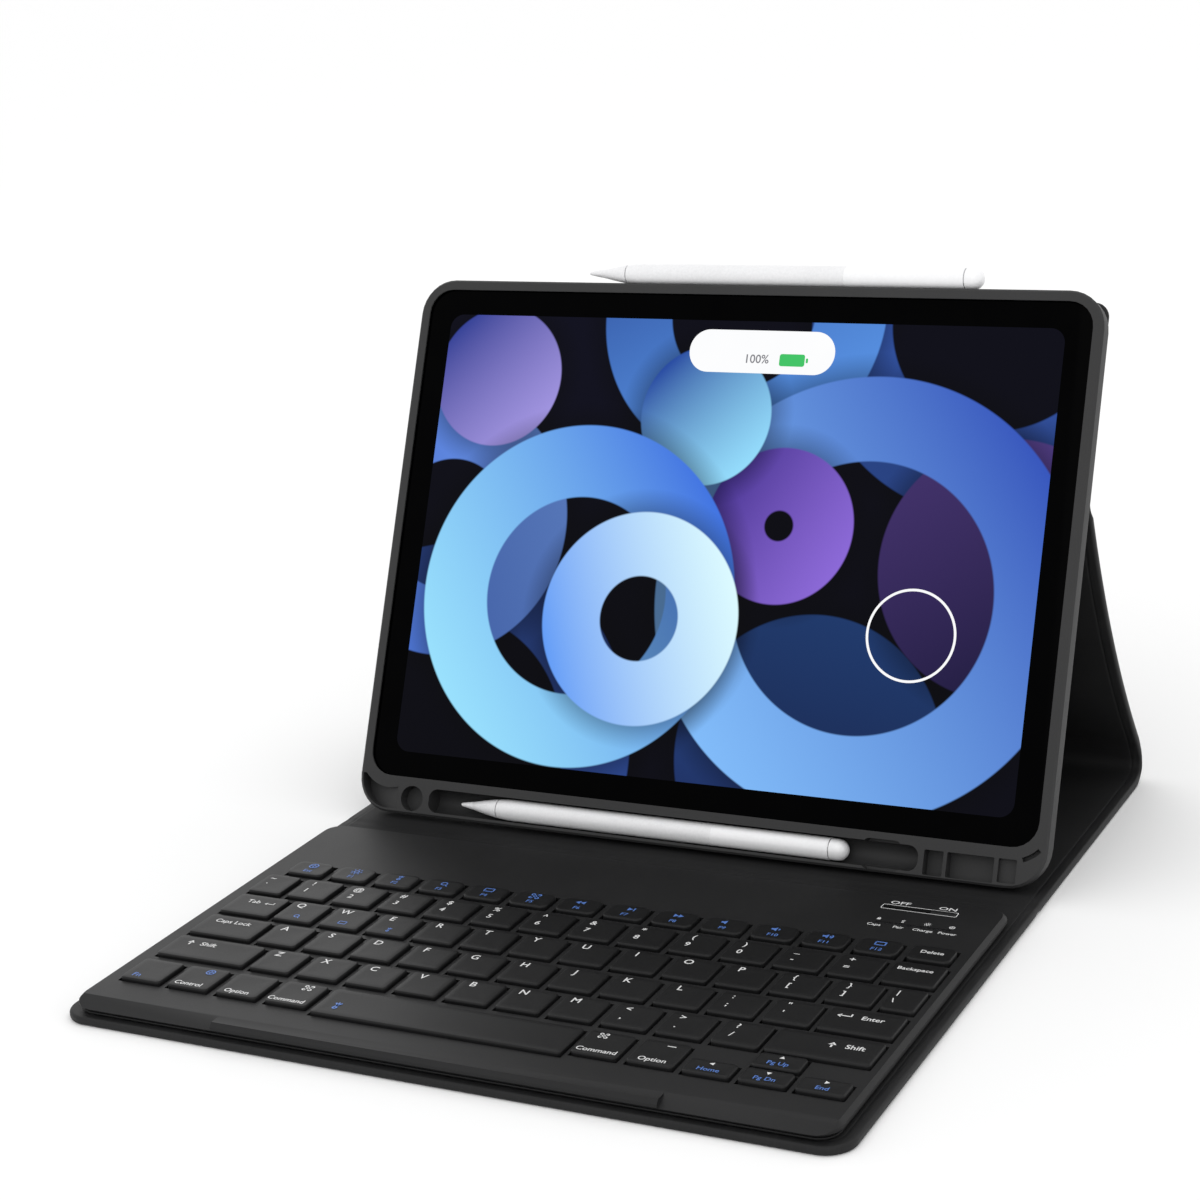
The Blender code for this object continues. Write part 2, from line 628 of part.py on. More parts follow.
def cap_solid(cap, mid_x, low, top):
    """One cap with a chamfer around its top, in its group's coordinates."""
    x, width, shift, depth = cap
    return slab(
        x - mid_x - width / 2, x - mid_x + width / 2, shift - depth / 2, shift + depth / 2, low, top,
        CAP_CORNER, CAP_EDGE, 3,
    )


def make_keys(frame):
    """A key of its own is one cap; the caps of a row stand on one thin web under the deck."""
    web_low = WEB_TOP - WEB - FRONT_AXIS.z
    web_high = WEB_TOP - FRONT_AXIS.z
    top = KEY_TOP - FRONT_AXIS.z
    look = (KEY_BLACK, 0.5, 0.0)
    for name, (row, caps) in KEY_GROUPS.items():
        mid_x = sum(cap[0] for cap in caps) / len(caps)
        place = (mid_x, ROW_Y[row] - FRONT_FOLD_Y, 0.0)
        if len(caps) == 1:
            add_object(name, cap_solid(caps[0], mid_x, web_low, top), look, frame, place)
            continue
        low_x = min(x - width / 2 for x, width, shift, depth in caps) - mid_x
        high_x = max(x + width / 2 for x, width, shift, depth in caps) - mid_x
        low_y = min(shift - depth / 2 for x, width, shift, depth in caps)
        high_y = max(shift + depth / 2 for x, width, shift, depth in caps)
        web = slab(low_x, high_x, low_y, high_y, web_low, web_high, CAP_CORNER, 0.0, 3)
        group = add_object(name, web, look, frame, place)
        stems = merge([cap_solid(cap, mid_x, web_high - WEB / 2, top) for cap in caps])
        add_caps(group, name + "_caps", stems)


def add_caps(group, name, caps_data):
    """Joins the caps to their web as one closed body."""
    caps = add_object(name, caps_data, (KEY_BLACK, 0.5, 0.0), group.parent)
    caps.location = group.location
    caps.hide_render = True
    caps.display_type = "WIRE"
    union = group.modifiers.new(name, "BOOLEAN")
    union.operation = "UNION"
    union.solver = "EXACT"
    union.object = caps


def deck_outline(inset):
    half = DECK_WIDTH / 2 - inset
    return rounded_outline(
        -half, half, DECK_FRONT + inset - FRONT_FOLD_Y, DECK_REAR - inset - FRONT_FOLD_Y, DECK_CORNER - inset
    )


SWITCH_X = 96.0 * MM
SWITCH_Y = 140.6 * MM
SWITCH_SLOT = (24.0 * MM, 2.8 * MM)
SWITCH_KNOB = (8.0 * MM, 2.2 * MM)
LENS_X = 98.0 * MM
LENS_Y = 129.0 * MM
LENS_SLOT = (24.0 * MM, 1.4 * MM)
PORT_X = 60.0 * MM
PORT_WIDTH = 9.2 * MM
PORT_LOW = 1.2 * MM              # of the port's opening, above the keyboard's underside
PORT_HIGH = 2.7 * MM
BOTTOM_COVER = 0.6 * MM
DECK_RIM = 1.0 * MM              # the deck's side slopes in by this towards its underside
DECK_EDGE = 1.2 * MM             # chamfer around the deck's top
BEVEL_FROM = 72.0 * MM           # the front edge is bevelled from here to both ends
BEVEL_DEPTH = 5.0 * MM
BEVEL_DROP = 2.4 * MM


def centred_box(x, y, size, low_z, high_z):
    return box((x - size[0] / 2, y - size[1] / 2, low_z), (x + size[0] / 2, y + size[1] / 2, high_z))


def front_bevel(side, top):
    """A wedge that takes the bevel off one end of the deck's front edge."""
    front = DECK_FRONT - FRONT_FOLD_Y
    beyond = 2.0 * MM
    slope = BEVEL_DROP / BEVEL_DEPTH
    profile = [
        (front - beyond, top - BEVEL_DROP - beyond * slope),
        (front + BEVEL_DEPTH + beyond, top + beyond * slope),
        (front - beyond, top + beyond * slope),
    ]
    wedge = bmesh.new()
    ends = (side * BEVEL_FROM, side * (DECK_WIDTH / 2 + beyond))
    near, far = ([wedge.verts.new((x, y, z)) for y, z in profile] for x in ends)
    wedge.faces.new(near)
    wedge.faces.new(list(reversed(far)))
    for index in range(3):
        after = (index + 1) % 3
        wedge.faces.new((near[after], near[index], far[index], far[after]))
    return wedge


def key_wells(low_z, high_z):
    """Cutters for the keys' openings in the deck, the switch's slot and the indicator's slot."""
    wells = []
    for row, caps in KEY_GROUPS.values():
        for x, width, shift, depth in caps:
            opening = (width + 2 * WELL_GAP, depth + 2 * WELL_GAP)
            wells.append(centred_box(x, ROW_Y[row] - FRONT_FOLD_Y + shift, opening, low_z, high_z))
    wells.append(centred_box(SWITCH_X, SWITCH_Y - FRONT_FOLD_Y, SWITCH_SLOT, low_z, high_z))
    wells.append(centred_box(LENS_X, LENS_Y - FRONT_FOLD_Y, LENS_SLOT, low_z, high_z))
    return merge(wells)


def make_keyboard(frame):
    base = PANEL + GAP - FRONT_AXIS.z
    top = DECK_TOP - FRONT_AXIS.z
    rear = DECK_REAR - FRONT_FOLD_Y
    case = add_object("keyboard_top_case", stack([
        (deck_outline(DECK_RIM), base + BOTTOM_COVER + GAP),
        (deck_outline(0.0), base + BOTTOM_COVER + GAP + DECK_RIM),
        (deck_outline(0.0), top - DECK_EDGE),
        (deck_outline(DECK_EDGE), top),
    ]), (DARK_PLASTIC, 0.5, 0.0), frame)
    hollow_high = top - DECK_PLATE
    wall = DECK_WALL + DECK_RIM
    half = DECK_WIDTH / 2 - wall
    hollow_front = DECK_FRONT + BEVEL_DEPTH - FRONT_FOLD_Y
    hollow_outline = rounded_outline(-half, half, hollow_front, rear - wall, DECK_CORNER - wall)
    cut(case, "case_hollow", stack([(hollow_outline, base), (hollow_outline, hollow_high)]))
    cut(case, "key_wells", key_wells(hollow_high - GAP, top + GAP))
    cut(case, "front_bevels", merge([front_bevel(-1, top), front_bevel(1, top)]))
    port = box(
        (PORT_X - PORT_WIDTH / 2, rear - 9.0 * MM, base + PORT_LOW),
        (PORT_X + PORT_WIDTH / 2, rear + 2.0 * MM, base + PORT_HIGH),
    )
    cut(case, "port_opening", port)

    cover = stack([(deck_outline(DECK_RIM), base), (deck_outline(DECK_RIM), base + BOTTOM_COVER)])
    add_object("keyboard_bottom_cover", cover, (DARK_PLASTIC, 0.6, 0.0), frame)

    inner_low = base + BOTTOM_COVER + GAP / 2
    key_front = ROW_Y["space"] - CAP_DEPTH / 2 - SPACE_EXTRA - FRONT_FOLD_Y
    key_rear = ROW_Y["function"] + FUNCTION_DEPTH / 2 - FRONT_FOLD_Y
    half -= DECK_RIM
    sheet = box((-half, key_front, inner_low), (half, key_rear, inner_low + 0.15 * MM))
    add_object("switch_sheet", sheet, ((0.3, 0.32, 0.34), 0.4, 0.0), frame)

    bay_low = key_rear + 3.0 * MM
    bay_high = rear - 9.0 * MM
    battery = slab(-70.0 * MM, 10.0 * MM, bay_low, bay_high, inner_low, hollow_high - GAP, 1.0 * MM, 0.0, 3)
    add_object("battery", battery, ((0.5, 0.52, 0.55), 0.4, 0.3), frame)
    board = box((14.0 * MM, bay_low, inner_low), (112.0 * MM, bay_high, inner_low + 0.5 * MM))
    add_object("controller_board", board, ((0.02, 0.16, 0.07), 0.5, 0.0), frame)
    socket = box(
        (PORT_X - PORT_WIDTH / 2 + GAP, rear - 8.0 * MM, base + PORT_LOW + GAP),
        (PORT_X + PORT_WIDTH / 2 - GAP, rear - 1.4 * MM, base + PORT_HIGH - GAP / 2),
    )
    bore = box(
        (PORT_X - PORT_WIDTH / 2 + 3 * GAP, rear - 6.0 * MM, base + PORT_LOW + 1.6 * GAP),
        (PORT_X + PORT_WIDTH / 2 - 3 * GAP, rear + 1.0 * MM, base + PORT_HIGH - GAP),
    )
    cut(add_object("charging_socket", socket, (STEEL, 0.3, 1.0), frame), "socket_bore", bore)
    lens_size = (LENS_SLOT[0] - 2 * GAP, LENS_SLOT[1] - 2 * GAP)
    lens = centred_box(LENS_X, LENS_Y - FRONT_FOLD_Y, lens_size, hollow_high, top - 0.1 * MM)
    add_object("indicator_lens", lens, ((0.5, 0.5, 0.5), 0.3, 0.0), frame)

    knob_x = SWITCH_X + SWITCH_SLOT[0] / 2 - SWITCH_KNOB[0] / 2 - GAP
    knob = slab(
        -SWITCH_KNOB[0] / 2, SWITCH_KNOB[0] / 2, -SWITCH_KNOB[1] / 2, SWITCH_KNOB[1] / 2,
        hollow_high - 0.4 * MM, top + 0.3 * MM, 0.4 * MM, 0.2 * MM, 2,
    )
    add_object("power_switch", knob, (DARK_PLASTIC, 0.45, 0.0), frame, (knob_x, SWITCH_Y - FRONT_FOLD_Y, 0.0))


def main():
    clear_scene()
    cover_frame = make_front_cover()
    make_floor_panel()
    make_rear_fold()
    make_leg()
    shell_frame = make_shell()
    make_upper_panel(shell_frame)
    make_tablet(shell_frame)
    make_stylus("groove_stylus", shell_frame, GROOVE_STYLUS_TIP, GROOVE_V, GROOVE_N)
    top_v = TABLET_H + SHELL_WALL + STYLUS_R + GLUE_LINE
    make_stylus("top_stylus", shell_frame, TOP_STYLUS_TIP, top_v, GROOVE_N)
    make_keyboard(cover_frame)
    make_keys(cover_frame)


main()
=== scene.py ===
"""Looks of the tablet keyboard case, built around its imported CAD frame.

Lengths are in metres; MM turns a length in millimetres into metres. The case stands on z = 0 with its
front edge towards -Y. The shell has a frame of its own: u to the right, v up the glass, n out of the glass.
"""

import json
import math

import bmesh
import bpy
import numpy as np
from mathutils import Matrix, Vector


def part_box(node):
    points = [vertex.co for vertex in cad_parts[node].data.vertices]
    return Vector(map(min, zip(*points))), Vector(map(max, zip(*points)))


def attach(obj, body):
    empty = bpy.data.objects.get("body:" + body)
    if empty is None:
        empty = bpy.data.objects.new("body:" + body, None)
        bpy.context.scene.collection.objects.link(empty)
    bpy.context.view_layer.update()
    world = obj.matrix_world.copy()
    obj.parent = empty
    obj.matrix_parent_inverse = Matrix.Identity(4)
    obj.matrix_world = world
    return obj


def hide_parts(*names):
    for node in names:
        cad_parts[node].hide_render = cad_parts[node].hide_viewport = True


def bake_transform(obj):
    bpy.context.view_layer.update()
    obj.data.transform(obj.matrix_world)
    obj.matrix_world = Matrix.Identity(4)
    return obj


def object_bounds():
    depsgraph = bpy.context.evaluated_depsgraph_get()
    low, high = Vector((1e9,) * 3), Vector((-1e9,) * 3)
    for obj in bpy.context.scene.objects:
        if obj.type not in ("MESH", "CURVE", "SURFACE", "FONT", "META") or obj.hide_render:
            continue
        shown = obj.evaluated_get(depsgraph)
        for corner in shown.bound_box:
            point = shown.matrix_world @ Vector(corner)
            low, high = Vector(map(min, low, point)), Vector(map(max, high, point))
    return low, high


MM = 0.001

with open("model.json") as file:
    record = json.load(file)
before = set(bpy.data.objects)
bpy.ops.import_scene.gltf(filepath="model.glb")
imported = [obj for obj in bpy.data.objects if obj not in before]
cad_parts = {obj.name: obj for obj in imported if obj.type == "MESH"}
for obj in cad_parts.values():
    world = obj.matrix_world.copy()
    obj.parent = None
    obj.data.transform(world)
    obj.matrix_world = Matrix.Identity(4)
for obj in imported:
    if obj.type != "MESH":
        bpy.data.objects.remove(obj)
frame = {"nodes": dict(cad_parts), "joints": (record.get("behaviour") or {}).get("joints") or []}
CAD_BOX = [list(corner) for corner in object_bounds()]
NODES = frame["nodes"]
JOINTS = {joint["name"]: joint for joint in frame["joints"]}
FRONT_Y = CAD_BOX[0][1]


# ---------------- places read from the frame


def reach(node, direction):
    """Lowest and highest position of a CAD node along a direction."""
    distances = [vertex.co.dot(direction) for vertex in NODES[node].data.vertices]
    return min(distances), max(distances)


RIGHT = Vector((1.0, 0.0, 0.0))
UP_GLASS = Vector(JOINTS["top_stylus_lift"]["axis"]).normalized()
OUT_OF_GLASS = Vector(JOINTS["groove_stylus_lift"]["axis"]).normalized()
FOOT_HEIGHT = reach("tablet_housing", UP_GLASS)[0]
GLASS_DEPTH = reach("tablet_glass", OUT_OF_GLASS)[1]
GLASS_FOOT = FOOT_HEIGHT * UP_GLASS + GLASS_DEPTH * OUT_OF_GLASS
SHELL_FRAME = Matrix.Translation(GLASS_FOOT) @ Matrix((RIGHT, UP_GLASS, OUT_OF_GLASS)).transposed().to_4x4()
FRONT_HINGE = Vector(JOINTS["front_cover_fold"]["pos_m"])
REAR_HINGE = Vector(JOINTS["leg_fold"]["pos_m"])
CREASE = Vector(JOINTS["shell_fold"]["pos_m"])
DECK_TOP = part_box("keyboard_top_case")[1].z


def shell_reach(node, direction):
    """Lowest and highest position of a CAD node along an axis of the shell's frame."""
    low, high = reach(node, direction)
    foot = GLASS_FOOT.dot(direction)
    return low - foot, high - foot


# ---------------- materials


def set_inputs(tree, node, **inputs):
    """Sets or links a node's inputs, named with underscores for spaces, or in0, in1 and so on by number."""
    for name, value in inputs.items():
        socket = node.inputs[int(name[2:])] if name.startswith("in") else node.inputs[name.replace("_", " ")]
        if isinstance(value, bpy.types.NodeSocket):
            tree.links.new(value, socket)
        else:
            socket.default_value = value


def add_node(tree, kind, settings=None, **inputs):
    """A shader node with its plain settings and its input values or links."""
    node = tree.nodes.new("ShaderNode" + kind)
    for name, value in (settings or {}).items():
        setattr(node, name, value)
    set_inputs(tree, node, **inputs)
    return node


def math_node(tree, operation, first, second=0.0, clamp=False):
    made = add_node(tree, "Math", {"operation": operation, "use_clamp": clamp}, in0=first, in1=second)
    return made.outputs[0]


def mix_colours(tree, factor, first, second, blend="MIX"):
    made = add_node(tree, "MixRGB", {"blend_type": blend}, Fac=factor, Color1=first, Color2=second)
    return made.outputs[0]


def map_range(tree, value, low, high, to_low=0.0, to_high=1.0):
    return add_node(tree, "MapRange", in0=value, in1=low, in2=high, in3=to_low, in4=to_high).outputs[0]


def weighted_sum(tree, first, first_weight, second, second_weight):
    scaled = math_node(tree, "MULTIPLY", first, first_weight)
    return math_node(tree, "ADD", scaled, math_node(tree, "MULTIPLY", second, second_weight))


def new_material(name):
    """A new material with its node tree and its Principled shader."""
    made = bpy.data.materials.new(name)
    made.use_nodes = True
    return made, made.node_tree, made.node_tree.nodes["Principled BSDF"]


def surface_coordinates(tree, flat):
    """Coordinates that stay with the surface: flat leather ones in metres, or the object's own."""
    if flat:
        return add_node(tree, "UVMap", {"uv_map": "flat"}).outputs["UV"]
    return add_node(tree, "TexCoord").outputs["Object"]


NOISE_SPAN = (0.35, 0.65)        # where nearly all values of the noise lie


def textured(
    name, dark, light, rough=(0.45, 0.6), grain=900.0, stretch=(1.0, 1.0, 1.0), relief=0.02, metallic=0.0,
    specular=0.5, flat=False, cells=0.0, coat=0.0,
):
    """A Principled material whose colour, roughness and relief vary with fine grain and soft large patches.

    relief is the height of the grain in millimetres, and cells adds pores of that many per metre.
    """
    made, tree, shader = new_material(name)
    surface = surface_coordinates(tree, flat)
    place = add_node(tree, "Mapping", Vector=surface, Scale=stretch).outputs[0]
    fine = add_node(tree, "TexNoise", Vector=place, Scale=grain, Detail=4.0, Roughness=0.6).outputs["Fac"]
    patches = add_node(tree, "TexNoise", Vector=surface, Scale=28.0, Detail=3.0, Roughness=0.55)
    shade = weighted_sum(tree, fine, 0.65, patches.outputs["Fac"], 0.35)
    contrast = map_range(tree, shade, *NOISE_SPAN)
    colour = mix_colours(tree, contrast, (*dark, 1.0), (*light, 1.0))
    gloss = map_range(tree, shade, *NOISE_SPAN, *rough)
    height = fine
    if cells:
        pores = add_node(tree, "TexVoronoi", {"feature": "DISTANCE_TO_EDGE"}, Vector=surface, Scale=cells)
        edge = math_node(tree, "MULTIPLY", pores.outputs["Distance"], 4.0, clamp=True)
        height = weighted_sum(tree, fine, 0.5, edge, 0.5)
    normal = add_node(tree, "Bump", Height=height, Strength=1.0, Distance=relief * MM).outputs[0]
    set_inputs(
        tree, shader, Base_Color=colour, Roughness=gloss, Normal=normal, Metallic=metallic,
        Specular_IOR_Level=specular, Coat_Weight=coat,
    )
    return made


LEATHER = textured(
    "brushed_black_leather", (0.008, 0.008, 0.0084), (0.0165, 0.0165, 0.017), (0.46, 0.6),
    grain=900.0, stretch=(1.6, 0.09, 1.0), relief=0.03, specular=0.2, flat=True,
)
LINING = textured(
    "black_lining", (0.0085, 0.0085, 0.0089), (0.0145, 0.0145, 0.015), (0.55, 0.68),
    grain=1400.0, relief=0.02, specular=0.16, flat=True, cells=1500.0,
)
RUBBER = textured(
    "soft_black_rubber", (0.026, 0.026, 0.0265), (0.034, 0.034, 0.0345), (0.5, 0.62),
    grain=2200.0, relief=0.008, specular=0.22,
)
DECK_PLASTIC = textured(
    "fine_black_plastic", (0.0095, 0.0095, 0.0099), (0.0145, 0.0145, 0.015), (0.42, 0.52),
    grain=2600.0, relief=0.008, specular=0.2,
)
KEY_PLASTIC = textured(
    "satin_key_plastic", (0.0045, 0.0045, 0.0048), (0.0075, 0.0075, 0.0079), (0.4, 0.5),
    grain=3000.0, relief=0.005, specular=0.22,
)
STYLUS_WHITE = textured(
    "satin_white", (0.72, 0.72, 0.73), (0.8, 0.8, 0.81), (0.28, 0.4), grain=1200.0, relief=0.002, coat=0.1
)
STYLUS_BRIGHT = textured(
    "gloss_white", (0.83, 0.83, 0.84), (0.88, 0.88, 0.89), (0.15, 0.22), grain=900.0, relief=0.001, coat=0.3
)
STYLUS_RING = textured("ring_grey", (0.35, 0.35, 0.36), (0.45, 0.45, 0.46), (0.25, 0.35), metallic=0.8)
HOUSING_METAL = textured(
    "anodised_grey", (0.23, 0.235, 0.245), (0.29, 0.295, 0.305), (0.32, 0.42), grain=2400.0, relief=0.003,
    metallic=1.0,
)
STEEL = textured(
    "brushed_steel", (0.42, 0.43, 0.44), (0.56, 0.57, 0.58), (0.25, 0.38), stretch=(0.1, 1.0, 1.0),
    relief=0.004, metallic=1.0,
)
GLASS_BLACK = textured(
    "black_front_glass", (0.0002, 0.0002, 0.0003), (0.0005, 0.0005, 0.0006), (0.08, 0.12),
    grain=60.0, relief=0.0003, specular=0.014,
)
LENS_BLACK = textured(
    "lens_black", (0.004, 0.004, 0.006), (0.008, 0.008, 0.012), (0.06, 0.1), relief=0.0005, coat=0.5
)
FOIL = textured("cell_foil", (0.3, 0.31, 0.33), (0.42, 0.43, 0.45), (0.35, 0.5), metallic=0.7, relief=0.02)
BOARD_GREEN = textured("circuit_green", (0.006, 0.05, 0.02), (0.012, 0.085, 0.035), (0.35, 0.5), relief=0.01)
FILM = textured("membrane_film", (0.2, 0.22, 0.24), (0.28, 0.3, 0.32), (0.3, 0.45), relief=0.005)
LENS_SMOKE = textured(
    "indicator_smoke", (0.012, 0.012, 0.013), (0.018, 0.018, 0.019), (0.2, 0.3), relief=0.002
)
LEGEND_WHITE = textured("legend_white", (0.62, 0.62, 0.62), (0.72, 0.72, 0.72), (0.45, 0.55), relief=0.001)
LEGEND_BLUE = textured("legend_blue", (0.06, 0.14, 0.42), (0.09, 0.2, 0.55), (0.45, 0.55), relief=0.001)


# ---------------- mesh helpers


def add_object(name, data):
    obj = bpy.data.objects.new(name, data)
    bpy.context.scene.collection.objects.link(obj)
    return obj


def point_faces_out(mesh):
    shaped = bmesh.new()
    shaped.from_mesh(mesh)
    bmesh.ops.recalc_face_normals(shaped, faces=shaped.faces)
    shaped.to_mesh(mesh)
    shaped.free()


def make_object(name, points, faces, materials, angle=40.0):
    """A closed mesh piece with its normals facing out."""
    mesh = bpy.data.meshes.new(name)
    mesh.from_pydata([tuple(point) for point in points], [], faces)
    point_faces_out(mesh)
    return link_mesh(name, mesh, materials, angle)


def smooth(mesh, angle):
    """Smooth shading, with edges sharper than the angle left sharp."""
    mesh.shade_smooth()
    mesh.set_sharp_from_angle(angle=math.radians(angle))


def link_mesh(name, mesh, materials, angle=40.0):
    for made in materials:
        mesh.materials.append(made)
    smooth(mesh, angle)
    return add_object(name, mesh)


def take_place(piece, node):
    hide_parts(node)


def rounded_outline(low_x, high_x, low_y, high_y, radius, steps=8):
    """Corner points of a rectangle with round corners, anticlockwise from the lower right."""
    centres = (
        (high_x - radius, low_y + radius, -90),
        (high_x - radius, high_y - radius, 0),
        (low_x + radius, high_y - radius, 90),
        (low_x + radius, low_y + radius, 180),
    )
    points = []
    for centre_x, centre_y, start in centres:
        for step in range(steps + 1):
            angle = math.radians(start + 90 * step / steps)
            points.append((centre_x + radius * math.cos(angle), centre_y + radius * math.sin(angle)))
    return points


def skin_rings(rings):
    """Points and faces of rings of equal point counts joined in turn, with a flat face over each end."""
    count = len(rings[0])
    points = [point for ring in rings for point in ring]
    faces = []
    for level in range(len(rings) - 1):
        for index in range(count):
            after = (index + 1) % count
            low = level * count
            faces.append((low + index, low + after, low + count + after, low + count + index))
    faces.append(tuple(reversed(range(count))))
    faces.append(tuple(range(len(points) - count, len(points))))
    return points, faces


def plate_mesh(low_x, high_x, low_y, high_y, radius, profile, steps=8):
    """Points and faces of a round-cornered plate.

    The profile lists (inset, height) from its bottom to its top.
    """
    rings = []
    for inset, height in profile:
        corner = max(radius - inset, 0.12 * MM)
        outline = rounded_outline(low_x + inset, high_x - inset, low_y + inset, high_y - inset, corner, steps)
        rings.append([(x, y, height) for x, y in outline])
    return skin_rings(rings)


def disc_mesh(centre, radius, profile, steps, roundness=0.99):
    """Points and faces of a plate that is round all over."""
    low_x, low_y = centre.x - radius, centre.y - radius
    return plate_mesh(low_x, centre.x + radius, low_y, centre.y + radius, radius * roundness, profile, steps)


def shell_object(name, points_and_faces, material):
    """A closed mesh piece from its sizes in the shell's frame."""
    points, faces = points_and_faces
    return make_object(name, [SHELL_FRAME @ Vector(point) for point in points], faces, [material])


def refined(node, body, material, edge=0.2 * MM, segments=2):
    """A copy of a CAD node with rounded edges and smooth shading, which stands for the node."""
    mesh = NODES[node].data.copy()
    mesh.materials.clear()
    shaped = bmesh.new()
    shaped.from_mesh(mesh)
    bmesh.ops.remove_doubles(shaped, verts=shaped.verts, dist=0.001 * MM)
    shaped.to_mesh(mesh)
    shaped.free()
    piece = link_mesh("fine_" + node, mesh, [material])
    bevel = piece.modifiers.new("round_edges", "BEVEL")
    bevel.width = edge
    bevel.segments = segments
    bevel.limit_method = "ANGLE"
    bevel.angle_limit = math.radians(32.0)
    bevel.use_clamp_overlap = True
    bevel.miter_outer = "MITER_ARC"
    apply_modifiers(piece)
    smooth(piece.data, 40.0)
    # Normals weighted by area keep large flat faces flat between their rounded edges.
    even = piece.modifiers.new("even_faces", "WEIGHTED_NORMAL")
    even.mode = "FACE_AREA"
    even.weight = 90
    even.keep_sharp = True
    apply_modifiers(piece)
    take_place(piece, node)
    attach(piece, body)


def apply_modifiers(piece):
    evaluated = piece.evaluated_get(bpy.context.evaluated_depsgraph_get())
    shaped = bpy.data.meshes.new_from_object(evaluated)
    piece.modifiers.clear()
    piece.data = shaped


def cut_hole(piece, cutter):
    """Takes the cutter out of the piece for good."""
    boolean = piece.modifiers.new("hole", "BOOLEAN")
    boolean.operation = "DIFFERENCE"
    boolean.solver = "EXACT"
    boolean.object = cutter
    apply_modifiers(piece)
    bpy.data.objects.remove(cutter)


# ---------------- the leather folio

BOARD_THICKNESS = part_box("floor_panel_lining")[1].z
UPPER_BACK_N = shell_reach("upper_panel_skin", OUT_OF_GLASS)[0]
UPPER_TOP_V = shell_reach("upper_panel_skin", UP_GLASS)[1]
UPPER_THICKNESS = shell_reach("upper_panel_board", OUT_OF_GLASS)[1] - UPPER_BACK_N
CREASE_V = (CREASE - GLASS_FOOT).dot(UP_GLASS)
FOLD_REACH = 3.0 * MM            # bare leather on each side of a fold line
EDGE_ROUND = 0.9 * MM
FRONT_CORNER = 9.0 * MM
TOP_CORNER = 5.0 * MM
LINE_INSET = 4.6 * MM            # debossed line, from the side edges
LINE_CORNER = 4.0 * MM
LINE_DEPTH = 0.28 * MM
LINE_WIDTH = 0.42 * MM
HEM = 3.6 * MM                   # turned-over leather around the lining
SEAM_DEPTH = 0.16 * MM           # groove between the hem and the lining
SEAM_WIDTH = 0.3 * MM
LEG_SAG = 6.0 * MM               # pulls the leg's curve inward
BEND_START = 6.5 * MM            # the rear bend begins this far before the rear hinge,
BEND_END = (2.3 * MM, 17.5 * MM)     # ends this far behind it and above the floor,
BEND_PULL = (16.5 * MM, 9.0 * MM)    # and follows its ends' directions this far
CREASE_PULL = 2.2 * MM           # the same for the turn at the crease
LINE_REACH = 2.0 * MM            # how far from a panel its debossed line still counts
LEAST_STEP = 0.015 * MM          # between two rows of the folio's mesh
LENS_HOLE_RADIUS = 9.5 * MM


def bezier(first, handle_1, handle_2, last, count):
    points = []
    for step in range(count + 1):
        t = step / count
        rest = 1 - t
        inner = 3 * t * rest**2 * handle_1 + 3 * t * t * rest * handle_2
        points.append(rest**3 * first + inner + t**3 * last)
    return points


def folio_path():
    """The outer face of the folio from its front edge, around the rear bend, up the leg and up the shell."""
    floor_end = Vector((REAR_HINGE.y - BEND_START, 0.0))
    leg_foot = Vector((REAR_HINGE.y + BEND_END[0], BEND_END[1]))
    crease = Vector((CREASE.y, CREASE.z)) + Vector((0.2, -1.2)) * MM
    chord = crease - leg_foot
    inward = Vector((-chord.y, chord.x)).normalized()
    sag = inward * LEG_SAG
    leg_handles = (leg_foot + chord / 3 + sag, leg_foot + chord * 2 / 3 + sag)
    leg_start = (leg_handles[0] - leg_foot).normalized()
    floor_handle = floor_end + Vector((BEND_PULL[0], 0.0))
    bend = bezier(floor_end, floor_handle, leg_foot - leg_start * BEND_PULL[1], leg_foot, 24)
    leg = bezier(leg_foot, *leg_handles, crease, 40)
    up = Vector((UP_GLASS.y, UP_GLASS.z))
    upper_foot = SHELL_FRAME @ Vector((0.0, CREASE_V + FOLD_REACH, UPPER_BACK_N))
    upper_foot = Vector((upper_foot.y, upper_foot.z))
    leg_top = leg[-2]
    leg_end_direction = (leg[-1] - leg[-3]).normalized()
    top_handle = leg_top + leg_end_direction * CREASE_PULL
    turn = bezier(leg_top, top_handle, upper_foot - up * CREASE_PULL, upper_foot, 10)
    upper_top = upper_foot + up * (UPPER_TOP_V - CREASE_V - FOLD_REACH)
    return [Vector((FRONT_Y, 0.0))] + bend + leg[1:-2] + turn + [upper_top]


PATH = np.array([tuple(point) for point in folio_path()])
PATH_LENGTHS = np.concatenate([[0.0], np.cumsum(np.linalg.norm(np.diff(PATH, axis=0), axis=1))])
FOLIO_LENGTH = PATH_LENGTHS[-1]


def path_at(distance):
    """Point of the outer face and the direction into the leather, at a distance from the front edge."""
    step = 0.4 * MM
    ahead = min(distance + step, FOLIO_LENGTH)
    behind = max(distance - step, 0.0)

    def point(place):
        return np.array([np.interp(place, PATH_LENGTHS, PATH[:, axis]) for axis in (0, 1)])

    tangent = point(ahead) - point(behind)
    tangent /= np.linalg.norm(tangent)
    return point(distance), np.array([-tangent[1], tangent[0]])


def nearest_distance(y, z):
    gaps = np.hypot(PATH[:, 0] - y, PATH[:, 1] - z)
    return float(PATH_LENGTHS[int(np.argmin(gaps))])


FRONT_FOLD = FRONT_HINGE.y - FRONT_Y
REAR_FOLD_START = REAR_HINGE.y - FRONT_Y - 3.5 * MM
REAR_FOLD_END = nearest_distance(REAR_HINGE.y + 4.5 * MM, 13.0 * MM)
CREASE_AT = nearest_distance(CREASE.y, CREASE.z - 1.0 * MM)
